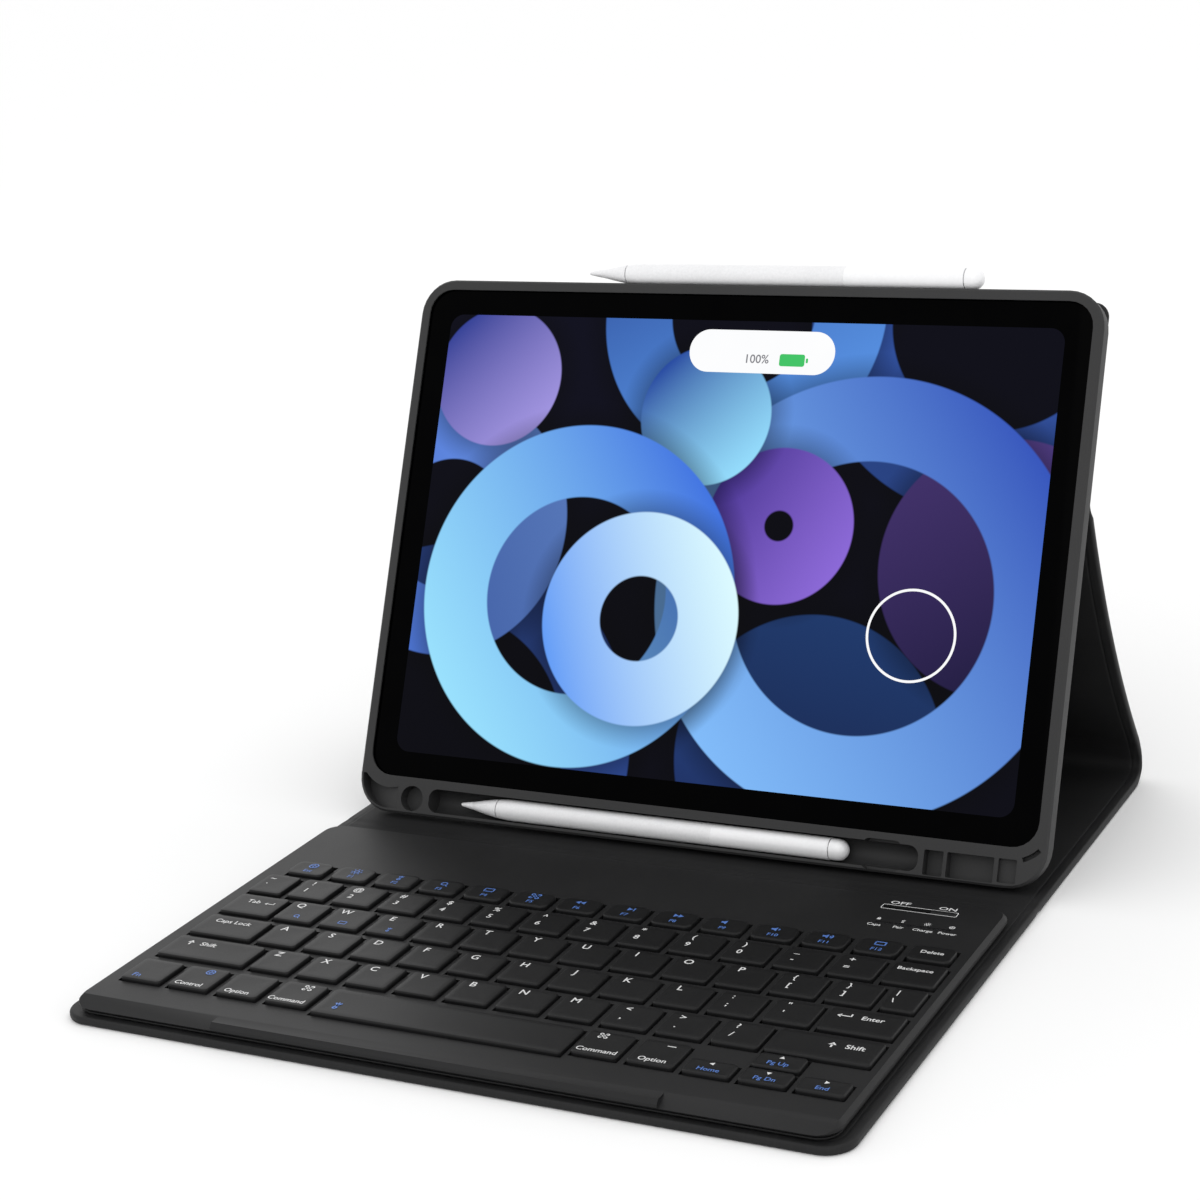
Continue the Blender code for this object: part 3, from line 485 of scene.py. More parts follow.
# Start and end of each fold, and the depth of its channel on the outer and on the inner face.
FOLDS = (
    (FRONT_FOLD - FOLD_REACH, FRONT_FOLD + FOLD_REACH, 0.5 * MM, 0.12 * MM),
    (REAR_FOLD_START, REAR_FOLD_END, 0.5 * MM, 0.7 * MM),
    (CREASE_AT - FOLD_REACH, CREASE_AT + FOLD_REACH, 0.5 * MM, 0.1 * MM),
)
# Each stiff panel's debossed rectangle, as distances from the front edge.
PANELS = (
    (LINE_INSET, FRONT_FOLD - FOLD_REACH),
    (FRONT_FOLD + FOLD_REACH, REAR_FOLD_START - 2.0 * MM),
    (REAR_FOLD_END + 2.0 * MM, CREASE_AT - FOLD_REACH),
    (CREASE_AT + FOLD_REACH, FOLIO_LENGTH - LINE_INSET),
)
# Half widths of the folio at distances from its front edge.
HALF_WIDTHS = (
    (0.0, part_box("floor_panel_skin")[1].x),
    (REAR_FOLD_START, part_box("floor_panel_skin")[1].x),
    (REAR_FOLD_END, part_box("leg_skin")[1].x),
    (CREASE_AT - FOLD_REACH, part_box("leg_skin")[1].x),
    (CREASE_AT + FOLD_REACH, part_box("upper_panel_skin")[1].x),
    (FOLIO_LENGTH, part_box("upper_panel_skin")[1].x),
)


def half_width(distance):
    places, widths = zip(*HALF_WIDTHS)
    return float(np.interp(distance, places, widths))


def thickness(distance):
    return float(np.interp(
        distance, (CREASE_AT - FOLD_REACH, CREASE_AT + FOLD_REACH), (BOARD_THICKNESS, UPPER_THICKNESS)
    ))


def inside_rectangle(x, y, half_x, half_y, radius):
    """Distance from a point to the border of a round-cornered rectangle; positive inside."""
    over_x = abs(x) - (half_x - radius)
    over_y = abs(y) - (half_y - radius)
    outside = math.hypot(max(over_x, 0.0), max(over_y, 0.0))
    return radius - outside - min(max(over_x, over_y), 0.0)


def edge_distance(x, distance):
    """Distance from a point of the folio to its outer edge."""
    middle = FOLIO_LENGTH / 2
    radius = FRONT_CORNER if distance < middle else TOP_CORNER
    return inside_rectangle(x, distance - middle, half_width(distance), middle, radius)


def fold_dip(distance, column):
    """Depth of the channel over a fold, on the outer face (column 2) or the inner one (column 3)."""
    for fold in FOLDS:
        share = abs(2 * distance - fold[0] - fold[1]) / (fold[1] - fold[0])
        if share < 1.0:
            return fold[column] * (0.5 + 0.5 * math.cos(math.pi * share))
    return 0.0


def debossed(x, distance):
    """Depth of the pressed line that runs around each panel."""
    for low, high in PANELS:
        if low - LINE_REACH < distance < high + LINE_REACH:
            half = half_width(distance) - LINE_INSET
            inside = inside_rectangle(x, distance - (low + high) / 2, half, (high - low) / 2, LINE_CORNER)
            return LINE_DEPTH * math.exp(-((inside / LINE_WIDTH) ** 2))
    return 0.0


def edge_round(depth):
    """How far the faces draw in near the edge, from the distance to it."""
    depth = min(max(depth, 0.0), EDGE_ROUND)
    return EDGE_ROUND - math.sqrt(EDGE_ROUND**2 - (EDGE_ROUND - depth) ** 2)


def corner_width(distance):
    """Half width of the folio at a distance from its front edge, with the round corners of both ends."""
    half = half_width(distance)
    for gap, radius in ((distance, FRONT_CORNER), (FOLIO_LENGTH - distance, TOP_CORNER)):
        if gap < radius:
            half -= radius - math.sqrt(max(radius**2 - (radius - gap) ** 2, 0.0))
    return half


# Distances in millimetres from an edge where the mesh has points.
ROUND_STATIONS = [0.0, 0.03, 0.1, 0.22, 0.4, 0.62, 0.9, 1.3, 2.0]
LINE_STATIONS = [3.0 + 0.3 * step for step in range(22)]
WIDE_STATIONS = [11.0, 14.0, 20.0, 30.0, 45.0, 65.0, 90.0]
END_STATIONS = [0.0, 0.02, 0.08, 0.2, 0.4, 0.65, 0.9, 1.4, 2.2, 3.1, 4.2, 5.5, 7.2, 9.0]


def long_stations(low, high):
    """Distances along the folio between two cuts, dense at its ends, folds and lines."""
    stations = {low, high}
    for value in END_STATIONS:
        stations.add(value * MM)
        stations.add(FOLIO_LENGTH - value * MM)
    for start, end in PANELS:
        for step in range(-4, 17):
            stations.add(start + 0.3 * MM * step)
            stations.add(end - 0.3 * MM * step)
    for fold in FOLDS:
        count = max(8, int((fold[1] - fold[0]) / (0.6 * MM)))
        stations.update(fold[0] + (fold[1] - fold[0]) * step / count for step in range(count + 1))
    stations.update(low + (high - low) * step / 60 for step in range(61))
    kept = []
    for value in sorted(stations):
        if low <= value <= high and (not kept or value - kept[-1] > LEAST_STEP):
            kept.append(value)
    kept[-1] = high
    return kept


def make_folio(name, low, high):
    """One length of the folio as a closed mesh: outer leather, round edges, turned hem and lining."""
    side = [value * MM for value in ROUND_STATIONS + LINE_STATIONS + WIDE_STATIONS]
    rows = long_stations(low, high)
    widest = half_width(0.0)
    across = [(-1, value) for value in side] + [(0, 0.0)] + [(1, value) for value in reversed(side)]
    columns = len(across)
    points = []
    flat = []
    hem_side = []
    for layer in range(2):
        for distance in rows:
            origin, inward = path_at(distance)
            local = corner_width(distance)
            for sign, from_edge in across:
                x = sign * (local - from_edge * local / widest)
                depth = edge_distance(x, distance)
                rise = edge_round(depth)
                if layer == 0:
                    height = rise + debossed(x, distance) + fold_dip(distance, 2)
                else:
                    seam = SEAM_DEPTH * math.exp(-(((depth - HEM) / SEAM_WIDTH) ** 2))
                    height = thickness(distance) - rise - seam - fold_dip(distance, 3)
                points.append((x, origin[0] + inward[0] * height, origin[1] + inward[1] * height))
                flat.append((x, distance))
                hem_side.append(depth < HEM)
    faces = []
    slots = []
    total = len(rows) * columns
    for row in range(len(rows) - 1):
        for column in range(columns - 1):
            first = row * columns + column
            quad = (first, first + 1, first + columns + 1, first + columns)
            faces.append(tuple(reversed(quad)))
            faces.append(tuple(index + total for index in quad))
            slots += [0, 0 if hem_side[first + total] or hem_side[first + total + 1] else 1]
        for column in (0, columns - 1):
            first = row * columns + column
            faces.append((first, first + columns, first + columns + total, first + total))
            slots.append(0)
    for row in (0, len(rows) - 1):
        for first in range(row * columns, row * columns + columns - 1):
            faces.append((first, first + 1, first + 1 + total, first + total))
            slots.append(0)
    mesh = bpy.data.meshes.new(name)
    mesh.from_pydata(points, [], faces)
    mesh.polygons.foreach_set("material_index", slots)
    layer = mesh.uv_layers.new(name="flat")
    for loop in mesh.loops:
        layer.data[loop.index].uv = flat[loop.vertex_index]
    point_faces_out(mesh)
    return link_mesh(name, mesh, [LEATHER, LINING], 50.0)


def make_all_folio():
    floor_cut = (FRONT_FOLD + REAR_FOLD_START) / 2
    leg_cut = (REAR_FOLD_END + CREASE_AT) / 2
    front = make_folio("folio_front", 0.0, floor_cut)
    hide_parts("front_cover_skin", "front_cover_board", "front_cover_lining", "front_fold_strip")
    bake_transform(front)
    rear = make_folio("folio_rear", floor_cut, leg_cut)
    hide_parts("floor_panel_skin", "floor_panel_board", "floor_panel_lining", "rear_fold_strip")
    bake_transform(rear)
    upper = make_folio("folio_upper", leg_cut, FOLIO_LENGTH)
    hole_low, hole_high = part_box("tablet_camera")
    centre = SHELL_FRAME.inverted() @ ((hole_low + hole_high) / 2)
    cutter = disc_mesh(centre, LENS_HOLE_RADIUS, [(0.0, UPPER_BACK_N - 2 * MM), (0.0, 0.0)], 12)
    cut_hole(upper, shell_object("lens_hole", cutter, LEATHER))
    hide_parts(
        "leg_skin", "leg_board", "leg_lining", "crease_strip", "upper_panel_board", "upper_panel_skin"
    )
    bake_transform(upper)


# ---------------- keyboard

CAP_ROUND = 0.5 * MM             # how far the cap's round edge reaches inward
CAP_DROP = 0.75 * MM             # and downward
CAP_CHAMFER = 0.35 * MM          # of the cap's CAD solid
FLAT_TOP = 0.05 * MM             # corners this close to the top belong to a cap's flat top
CAP_CORNER = 1.5 * MM
FUNCTION_CORNER = 2.6 * MM


def cap_spans(node):
    """Each cap of a key node, from the flat tops of its CAD solid: (low x, high x, low y, high y)."""
    mesh = NODES[node].data
    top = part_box(node)[1].z
    spans = []
    for polygon in mesh.polygons:
        corners = [mesh.vertices[index].co for index in polygon.vertices]
        if min(corner.z for corner in corners) < top - FLAT_TOP:
            continue
        xs = [corner.x for corner in corners]
        ys = [corner.y for corner in corners]
        spans.append([min(xs), max(xs), min(ys), max(ys)])
    spans.sort()
    merged = []
    for span in spans:
        if merged and span[0] <= merged[-1][1] + 0.01 * MM:
            last = merged[-1]
            merged[-1] = [last[0], max(last[1], span[1]), min(last[2], span[2]), max(last[3], span[3])]
        else:
            merged.append(span)
    grow = (-CAP_CHAMFER, CAP_CHAMFER, -CAP_CHAMFER, CAP_CHAMFER)
    return [tuple(value + more for value, more in zip(span, grow)) for span in merged]


def cap_profile(top, low, half_depth):
    """Round-edged cap with a shallow dish: (inset, height) pairs."""
    shoulder = top - CAP_DROP
    profile = [(0.0, low), (0.0, shoulder)]
    for step in range(1, 6):
        angle = math.radians(90 * step / 5)
        profile.append((CAP_ROUND * (1 - math.cos(angle)), shoulder + CAP_DROP * math.sin(angle)))
    for share, dip in ((0.25, 0.02), (0.45, 0.05), (0.7, 0.075), (0.9, 0.085)):
        profile.append((CAP_ROUND + (half_depth - CAP_ROUND) * share, top - dip * MM))
    return profile


def text_shape(words, size, middle, slot, spread=1.0):
    """Flat filled letters centred on a point, as (vertices, faces, material slot)."""
    curve = bpy.data.curves.new("letters", "FONT")
    curve.body = words
    curve.size = size
    curve.resolution_u = 3
    curve.align_x = "CENTER"
    curve.align_y = "CENTER"
    curve.offset = size * 0.012      # makes the strokes a little bolder
    holder = add_object("letters", curve)
    mesh = bpy.data.meshes.new_from_object(holder.evaluated_get(bpy.context.evaluated_depsgraph_get()))
    points = [(middle[0] + vertex.co.x * spread, middle[1] + vertex.co.y) for vertex in mesh.vertices]
    faces = [tuple(polygon.vertices) for polygon in mesh.polygons]
    bpy.data.objects.remove(holder)
    bpy.data.meshes.remove(mesh)
    bpy.data.curves.remove(curve)
    return points, faces, slot


def polygon_shape(corners, middle, slot):
    return [(middle[0] + x, middle[1] + y) for x, y in corners], [tuple(range(len(corners)))], slot


def ring_shape(radius, width, middle, slot, start=0.0, end=360.0, steps=20):
    points = []
    for step in range(steps + 1):
        angle = math.radians(start + (end - start) * step / steps)
        for edge in (radius - width / 2, radius + width / 2):
            points.append((middle[0] + edge * math.cos(angle), middle[1] + edge * math.sin(angle)))
    faces = [(2 * i, 2 * i + 1, 2 * i + 3, 2 * i + 2) for i in range(steps)]
    return points, faces, slot


def bar_shape(length, width, angle, middle, slot, shift=0.0):
    """A straight stroke of a given length, its middle moved along itself by shift."""
    direction = Vector((math.cos(math.radians(angle)), math.sin(math.radians(angle))))
    across = Vector((-direction.y, direction.x)) * width / 2
    centre = direction * shift
    half = direction * length / 2
    corners = [centre - half - across, centre + half - across, centre + half + across, centre - half + across]
    return polygon_shape([tuple(corner) for corner in corners], middle, slot)


POINTERS = {"left": (-1, 0), "right": (1, 0), "up": (0, 1), "down": (0, -1)}


def icon_shapes(kind, middle, size, slot):
    """Small generic signs, drawn from rings, strokes and filled outlines in shares of their size."""
    thin = size * 0.11
    shapes = []

    def place(x, y):
        return middle[0] + x * size, middle[1] + y * size

    def ring(radius, x=0.0, y=0.0, start=0.0, end=360.0, steps=20):
        shapes.append(ring_shape(size * radius, thin, place(x, y), slot, start, end, steps))

    def bar(length, angle, x=0.0, y=0.0, shift=0.0, width=thin):
        shapes.append(bar_shape(size * length, width, angle, place(x, y), slot, size * shift))

    def fill(*corners):
        shapes.append(polygon_shape([(x * size, y * size) for x, y in corners], middle, slot))

    if kind == "sun":
        ring(0.2)
        for ray in range(8):
            bar(0.16, 45 * ray, shift=0.42)
    elif kind in ("play", "next", "previous"):
        flip = -1 if kind == "previous" else 1
        for shift in (-0.1,) if kind == "play" else (-0.3, 0.1):
            fill((shift * flip, -0.26), ((shift + 0.4) * flip, 0.0), (shift * flip, 0.26))
        if kind == "play":
            bar(0.5, 90, 0.42)
    elif kind.startswith("volume"):
        fill((-0.45, -0.12), (-0.25, -0.12), (-0.02, -0.32), (-0.02, 0.32), (-0.25, 0.12), (-0.45, 0.12))
        for wave in range(int(kind[-1])):
            ring(0.18 + 0.16 * wave, start=-45, end=45, steps=8)
    elif kind == "glass":
        ring(0.24)
        bar(0.3, -45, shift=0.42)
    elif kind == "frame":
        for side in (-1, 1):
            bar(0.8, 0, 0.0, side * 0.25)
            bar(0.5, 90, side * 0.38)
    elif kind == "lock":
        fill((-0.25, -0.34), (0.25, -0.34), (0.25, 0.06), (-0.25, 0.06))
        ring(0.17, 0.0, 0.08, 0, 180, 10)
    elif kind == "globe":
        ring(0.36)
        bar(0.72, 0)
        bar(0.72, 90)
    elif kind == "arrow":
        bar(0.5, 90, shift=-0.1, width=thin * 1.3)
        fill((-0.3, 0.02), (0.3, 0.02), (0.0, 0.4))
    elif kind == "loops":
        for side in (-1, 1):
            for level in (-1, 1):
                ring(0.13, side * 0.26, level * 0.26, steps=12)
            bar(0.52, 0, 0.0, side * 0.13)
            bar(0.52, 90, side * 0.13)
    elif kind == "return":
        bar(0.8, 0)
        bar(0.4, 90, 0.4, shift=0.15)
        fill((-0.6, 0.0), (-0.3, -0.25), (-0.3, 0.25))
    elif kind == "beam":
        for turn in (-1, 0, 1):
            bar(0.5, 90 + 38 * turn, shift=0.1)
        ring(0.12, 0.0, -0.3, steps=12)
    elif kind == "dash":
        bar(1.0, 0, width=0.4 * MM)
    elif kind in POINTERS:
        dx, dy = POINTERS[kind]
        wing_x, wing_y = -0.8 * dy, 0.8 * dx
        back_x, back_y = -0.4 * dx, -0.4 * dy
        fill((dx, dy), (back_x + wing_x, back_y + wing_y), (back_x - wing_x, back_y - wing_y))
    return shapes


def word_shapes(words, middle, size, slot):
    return [text_shape(words, size, middle, slot)]


WHITE, BLUE = 0, 1
WORD, ICON = word_shapes, icon_shapes
LETTER = 4.0
PAIR = 3.68                      # letters that stand in pairs, one above the other
FUNCTION_ICONS = (
    "globe", "sun", "beam", "glass", "frame", "loops", "previous", "play", "next",
    "volume0", "volume1", "volume2", "frame",
)
SECOND_ICONS = ("glass", "frame", "beam")
CHARACTERS = {
    "number_keys": ("~`", "!1", "@2", "#3", "$4", "%5", "^6", "&7", "*8", "(9", ")0", "_-", "+="),
    "top_letter_keys": ("Q", "W", "E", "R", "T", "Y", "U", "I", "O", "P", "{[", "}]", "|\\"),
    "home_letter_keys": ("A", "S", "D", "F", "G", "H", "J", "K", "L", ":;", "\"'"),
    "bottom_letter_keys": ("Z", "X", "C", "V", "B", "N", "M", "<,", ">.", "?/"),
}
# Words and icons, with their place from the cap's middle and their size in millimetres, and their colour.
KEY_MARKS = {
    "left_modifier_keys": (
        [(WORD, "Control", -0.8, -4.6, 3.0, WHITE), (ICON, "globe", 1.4, 4.2, 3.8, BLUE)],
        [(WORD, "Option", -0.8, -4.6, 3.0, WHITE)],
        [(WORD, "Command", -0.8, -4.6, 3.0, WHITE), (ICON, "loops", 1.4, 4.2, 3.8, WHITE)],
    ),
    "right_modifier_keys": (
        [(WORD, "Command", 0.0, -4.4, 3.0, WHITE), (ICON, "loops", -2.0, 4.4, 3.4, WHITE)],
        [(WORD, "Option", 0.0, -4.4, 3.0, WHITE), (ICON, "dash", 2.0, 4.4, 2.6, WHITE)],
    ),
    "space_bar": ([(ICON, "beam", -35.0, -2.0, 5.0, BLUE)],),
    "fn_key": ([(WORD, "Fn", -2.8, -4.2, 3.2, BLUE)],),
    "left_shift_key": ([(ICON, "arrow", -9.6, 2.8, 4.0, WHITE), (WORD, "Shift", -3.0, 2.8, 3.3, WHITE)],),
    "right_shift_key": ([(ICON, "arrow", 1.6, 1.6, 4.0, WHITE), (WORD, "Shift", 8.4, 1.6, 3.3, WHITE)],),
    "enter_key": ([(ICON, "return", -5.8, 2.4, 4.2, WHITE), (WORD, "Enter", 2.4, 2.4, 3.1, WHITE)],),
    "backspace_key": ([(WORD, "Backspace", -0.8, 3.0, 2.7, WHITE)],),
    "tab_key": ([(WORD, "Tab", -1.6, 2.2, 3.2, WHITE), (ICON, "return", 4.6, 1.8, 3.2, WHITE)],),
    "caps_lock_key": ([(WORD, "Caps Lock", -1.0, 3.0, 3.1, WHITE)],),
}
for way, word in (("left", "Home"), ("right", "End"), ("up", "Pg Up"), ("down", "Pg Dn")):
    KEY_MARKS[f"arrow_{way}_key"] = ([(ICON, way, 0.0, 2.1, 1.0, WHITE), (WORD, word, 0.0, -1.3, 2.7, BLUE)],)


def marks_on(node, index):
    """The marks on one cap of a key node."""
    if node == "function_keys":
        if index == len(FUNCTION_ICONS):
            return [(WORD, "Delete", 0.0, 0.6, 2.7, WHITE)]
        label = f"F{index}" if index else "Esc"
        return [(ICON, FUNCTION_ICONS[index], 0.0, 2.0, 4.2, BLUE), (WORD, label, 0.0, -2.0, 2.5, BLUE)]
    if node in KEY_MARKS:
        return KEY_MARKS[node][index]
    signs = CHARACTERS[node][index]
    if len(signs) == 2:
        return [(WORD, signs[0], -2.9, 3.9, PAIR, WHITE), (WORD, signs[1], -2.9, -1.3, PAIR, WHITE)]
    marks = [(WORD, signs, -2.9, 4.0, LETTER, WHITE)]
    if node == "top_letter_keys" and index < len(SECOND_ICONS):
        marks.append((ICON, SECOND_ICONS[index], 0.0, -3.4, 3.4, BLUE))
    return marks


def draw_marks(marks, x, y):
    """The flat shapes of some marks about a middle."""
    shapes = []
    for draw, what, aside, up, size, slot in marks:
        shapes += draw(what, (x + aside * MM, y + up * MM), size * MM, slot)
    return shapes


def join_shapes(name, shapes, place):
    """One mesh of flat shapes, whose points lie where place puts them."""
    points = []
    faces = []
    slots = []
    for shape_points, shape_faces, slot in shapes:
        start = len(points)
        points += [tuple(place(x, y)) for x, y in shape_points]
        faces += [tuple(start + index for index in face) for face in shape_faces]
        slots += [slot] * len(shape_faces)
    mesh = bpy.data.meshes.new(name)
    mesh.from_pydata(points, [], faces)
    mesh.polygons.foreach_set("material_index", slots)
    return mesh


def print_legends(name, shapes, height, body):
    """Joins flat printed shapes into one thin piece at a height."""
    mesh = join_shapes(name, shapes, lambda x, y: (x, y, height))
    shaped = bmesh.new()
    shaped.from_mesh(mesh)
    for face in shaped.faces:
        face.normal_update()
        if face.normal.z < 0:
            face.normal_flip()
    shaped.to_mesh(mesh)
    shaped.free()
    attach(link_mesh(name, mesh, [LEGEND_WHITE, LEGEND_BLUE]), body)


def make_keys():
    for node in [name for name in NODES if name.endswith(("_key", "_keys")) or name == "space_bar"]:
        low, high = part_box(node)
        points = []
        faces = []
        shapes = []
        for index, (low_x, high_x, low_y, high_y) in enumerate(cap_spans(node)):
            half = min(high_x - low_x, high_y - low_y) / 2
            corner = FUNCTION_CORNER if node == "function_keys" else CAP_CORNER
            profile = cap_profile(high.z, low.z, half)
            cap_points, cap_faces = plate_mesh(low_x, high_x, low_y, high_y, corner, profile, 5)
            start = len(points)
            points += cap_points
            faces += [tuple(start + point for point in face) for face in cap_faces]
            shapes += draw_marks(marks_on(node, index), (low_x + high_x) / 2, (low_y + high_y) / 2)
        caps = make_object("caps_" + node, points, faces, [KEY_PLASTIC], 30.0)
        take_place(caps, node)
        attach(caps, node)
        print_legends("legend_" + node, shapes, high.z + 0.02 * MM, node)


def frame_shape(size, middle, width, slot):
    """A thin outline around a slot."""
    half_x, half_y = size[0] / 2, size[1] / 2
    inner = rounded_outline(-half_x, half_x, -half_y, half_y, 0.3 * MM, 3)
    outer = rounded_outline(-half_x - width, half_x + width, -half_y - width, half_y + width, 0.6 * MM, 3)
    count = len(inner)
    points = [(middle[0] + x, middle[1] + y) for x, y in inner + outer]
    faces = [(i, (i + 1) % count, count + (i + 1) % count, count + i) for i in range(count)]
    return points, faces, slot


SWITCH_SLOT = (24.0 * MM, 2.8 * MM)
INDICATORS = (("Caps", "lock"), ("Pair", "beam"), ("Charge", "sun"), ("Power", "globe"))


def make_deck():
    refined("keyboard_top_case", "keyboard", DECK_PLASTIC, 0.22 * MM, 2)
    refined("keyboard_bottom_cover", "keyboard", DECK_PLASTIC, 0.15 * MM, 2)
    refined("power_switch", "power_switch", DECK_PLASTIC, 0.15 * MM, 2)
    refined("charging_socket", "keyboard", STEEL, 0.1 * MM, 2)
    low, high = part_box("power_switch")
    slot_y = (low.y + high.y) / 2
    slot_right = high.x
    shapes = [
        text_shape("OFF", 2.9 * MM, (slot_right - 19.0 * MM, slot_y + 3.4 * MM), WHITE, 1.3),
        text_shape("ON", 2.9 * MM, (slot_right - 3.6 * MM, slot_y + 3.4 * MM), WHITE, 1.3),
        frame_shape(SWITCH_SLOT, (slot_right + 0.3 * MM - SWITCH_SLOT[0] / 2, slot_y), 0.28 * MM, WHITE),
    ]
    lens_low, lens_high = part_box("indicator_lens")
    for index, (word, icon) in enumerate(INDICATORS):
        x = lens_low.x + (lens_high.x - lens_low.x) * index / (len(INDICATORS) - 1)
        marks = [(WORD, word, 0.0, -1.9, 2.2, WHITE), (ICON, icon, 0.0, 2.8, 2.3, WHITE)]
        shapes += draw_marks(marks, x, lens_low.y)
    print_legends("deck_legends", shapes, DECK_TOP + 0.015 * MM, "keyboard")


# ---------------- tablet and its picture


def light_up(tree, shader, colour, roughness):
    """A surface that glows with a colour and is near black itself."""
    set_inputs(
        tree, shader, Emission_Color=colour, Emission_Strength=1.0, Base_Color=(0.002, 0.002, 0.003, 1.0),
        Roughness=roughness, Specular_IOR_Level=0.03,
    )


def picture_material():
    """An abstract screen picture of broad blue rings and discs over near black."""
    made, tree, shader = new_material("screen_picture")
    place = add_node(tree, "SeparateXYZ", in0=add_node(tree, "UVMap", {"uv_map": "flat"}).outputs["UV"])
    across = place.outputs[0]
    upward = place.outputs[1]
    colour = mix_colours(tree, upward, (0.001, 0.001, 0.004, 1.0), (0.002, 0.002, 0.009, 1.0))
    # Centre, outer and inner radius in picture heights, gradient direction, and the two end colours.
    rings = (
        (1.30, 1.02, 0.42, 0.24, 200, (0.02, 0.05, 0.22), (0.035, 0.1, 0.42)),
        (0.12, 0.02, 0.46, 0.30, 60, (0.01, 0.02, 0.1), (0.03, 0.08, 0.33)),
        (0.72, 1.02, 0.33, 0.17, 300, (0.02, 0.06, 0.3), (0.1, 0.3, 0.8)),
        (0.98, 0.08, 0.30, 0.0, 80, (0.008, 0.015, 0.08), (0.02, 0.07, 0.26)),
        (1.36, 0.50, 0.27, 0.0, 120, (0.015, 0.012, 0.07), (0.09, 0.05, 0.25)),
        (0.06, 0.52, 0.30, 0.15, 20, (0.04, 0.12, 0.55), (0.16, 0.32, 0.85)),
        (0.14, 0.86, 0.16, 0.0, 315, (0.03, 0.05, 0.3), (0.36, 0.3, 0.75)),
        (1.06, 0.42, 0.47, 0.29, 35, (0.22, 0.5, 0.95), (0.035, 0.09, 0.5)),
        (0.86, 0.56, 0.17, 0.035, 330, (0.06, 0.03, 0.28), (0.26, 0.14, 0.68)),
        (0.66, 0.79, 0.155, 0.0, 315, (0.015, 0.06, 0.35), (0.3, 0.72, 0.98)),
        (0.40, 0.38, 0.38, 0.22, 215, (0.05, 0.17, 0.75), (0.32, 0.75, 0.98)),
        (0.56, 0.34, 0.235, 0.095, 20, (0.12, 0.33, 0.92), (0.72, 0.96, 1.0)),
    )
    soft = 0.004
    for centre_x, centre_y, outer, inner, angle, first, last in rings:
        from_x = math_node(tree, "SUBTRACT", across, centre_x)
        from_y = math_node(tree, "SUBTRACT", upward, centre_y)
        radius = math_node(tree, "SQRT", weighted_sum(tree, from_x, from_x, from_y, from_y))
        within = map_range(tree, radius, outer - soft, outer, 1.0, 0.0)
        if inner:
            within = math_node(tree, "MULTIPLY", within, map_range(tree, radius, inner - soft, inner))
        lean = math.radians(angle)
        along = weighted_sum(tree, from_x, math.cos(lean), from_y, math.sin(lean))
        shade = mix_colours(tree, map_range(tree, along, -outer, outer), (*first, 1.0), (*last, 1.0))
        # A soft shadow just outside each ring lifts it off what lies behind.
        shadow = map_range(tree, radius, outer, outer + 0.05, 0.55, 1.0)
        grey = add_node(tree, "CombineXYZ", X=shadow, Y=shadow, Z=shadow).outputs[0]
        shaded = mix_colours(tree, 1.0, colour, grey, "MULTIPLY")
        colour = mix_colours(tree, within, shaded, shade)
    light_up(tree, shader, colour, map_range(tree, across, 0.0, 1.5, 0.1, 0.14))
    return made


def glow_material(name, colour, edge_colour):
    """A lit sign on the screen, a little darker in soft patches."""
    made, tree, shader = new_material(name)
    noise = add_node(tree, "TexNoise", Vector=add_node(tree, "TexCoord").outputs["Object"], Scale=40.0)
    shade = mix_colours(tree, noise.outputs["Fac"], (*edge_colour, 1.0), (*colour, 1.0))
    light_up(tree, shader, shade, 0.15)
    return made


DISPLAY_WIDTH = 227.0 * MM
DISPLAY_HEIGHT = 158.0 * MM
DISPLAY_CORNER = 5.0 * MM
DISPLAY_LIFT = 0.02 * MM
PILL_PLACE = (8.6 * MM, 157.7 * MM)          # the signs' places on the glass, in (u, v)
CIRCLE_PLACE = (72.9 * MM, 65.5 * MM)
SIGN_HEIGHT = 0.04 * MM                      # how far the signs lie above the glass
GLASS_CORNER = 9.7 * MM
LENS_EDGE = ((0.25, 0.0), (0.08, 0.08), (0.0, 0.25))     # round edge of the rear lens, as (inset, height)
# The glass's front edge, as (inset, height above the glass) in millimetres.
GLASS_EDGE = ((0.0, -0.35), (0.04, -0.18), (0.16, -0.05), (0.4, 0.0))


def screen_sign(name, shapes, height, materials):
    """Flat shapes on the screen, in (u, v) about its foot."""
    mesh = join_shapes(name, shapes, lambda u, v: SHELL_FRAME @ Vector((u, v, height)))
    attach(link_mesh(name, mesh, materials), "shell")


def level_rectangle(width, height, corner, steps, middle, slot):
    outline = rounded_outline(-width / 2, width / 2, -height / 2, height / 2, corner, steps)
    return polygon_shape(outline, middle, slot)


def make_glass():
    low_u, high_u = reach("tablet_glass", RIGHT)
    half = (high_u - low_u) / 2
    low_v, high_v = shell_reach("tablet_glass", UP_GLASS)
    low_n = shell_reach("tablet_glass", OUT_OF_GLASS)[0]
    profile = [(0.15 * MM, low_n), (0.0, low_n + 0.12 * MM)]
    profile += [(inset * MM, height * MM) for inset, height in GLASS_EDGE]
    plate = plate_mesh(-half, half, low_v, high_v, GLASS_CORNER, profile, 12)
    glass = shell_object("front_glass", plate, GLASS_BLACK)
    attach(glass, "shell")
    take_place(glass, "tablet_glass")


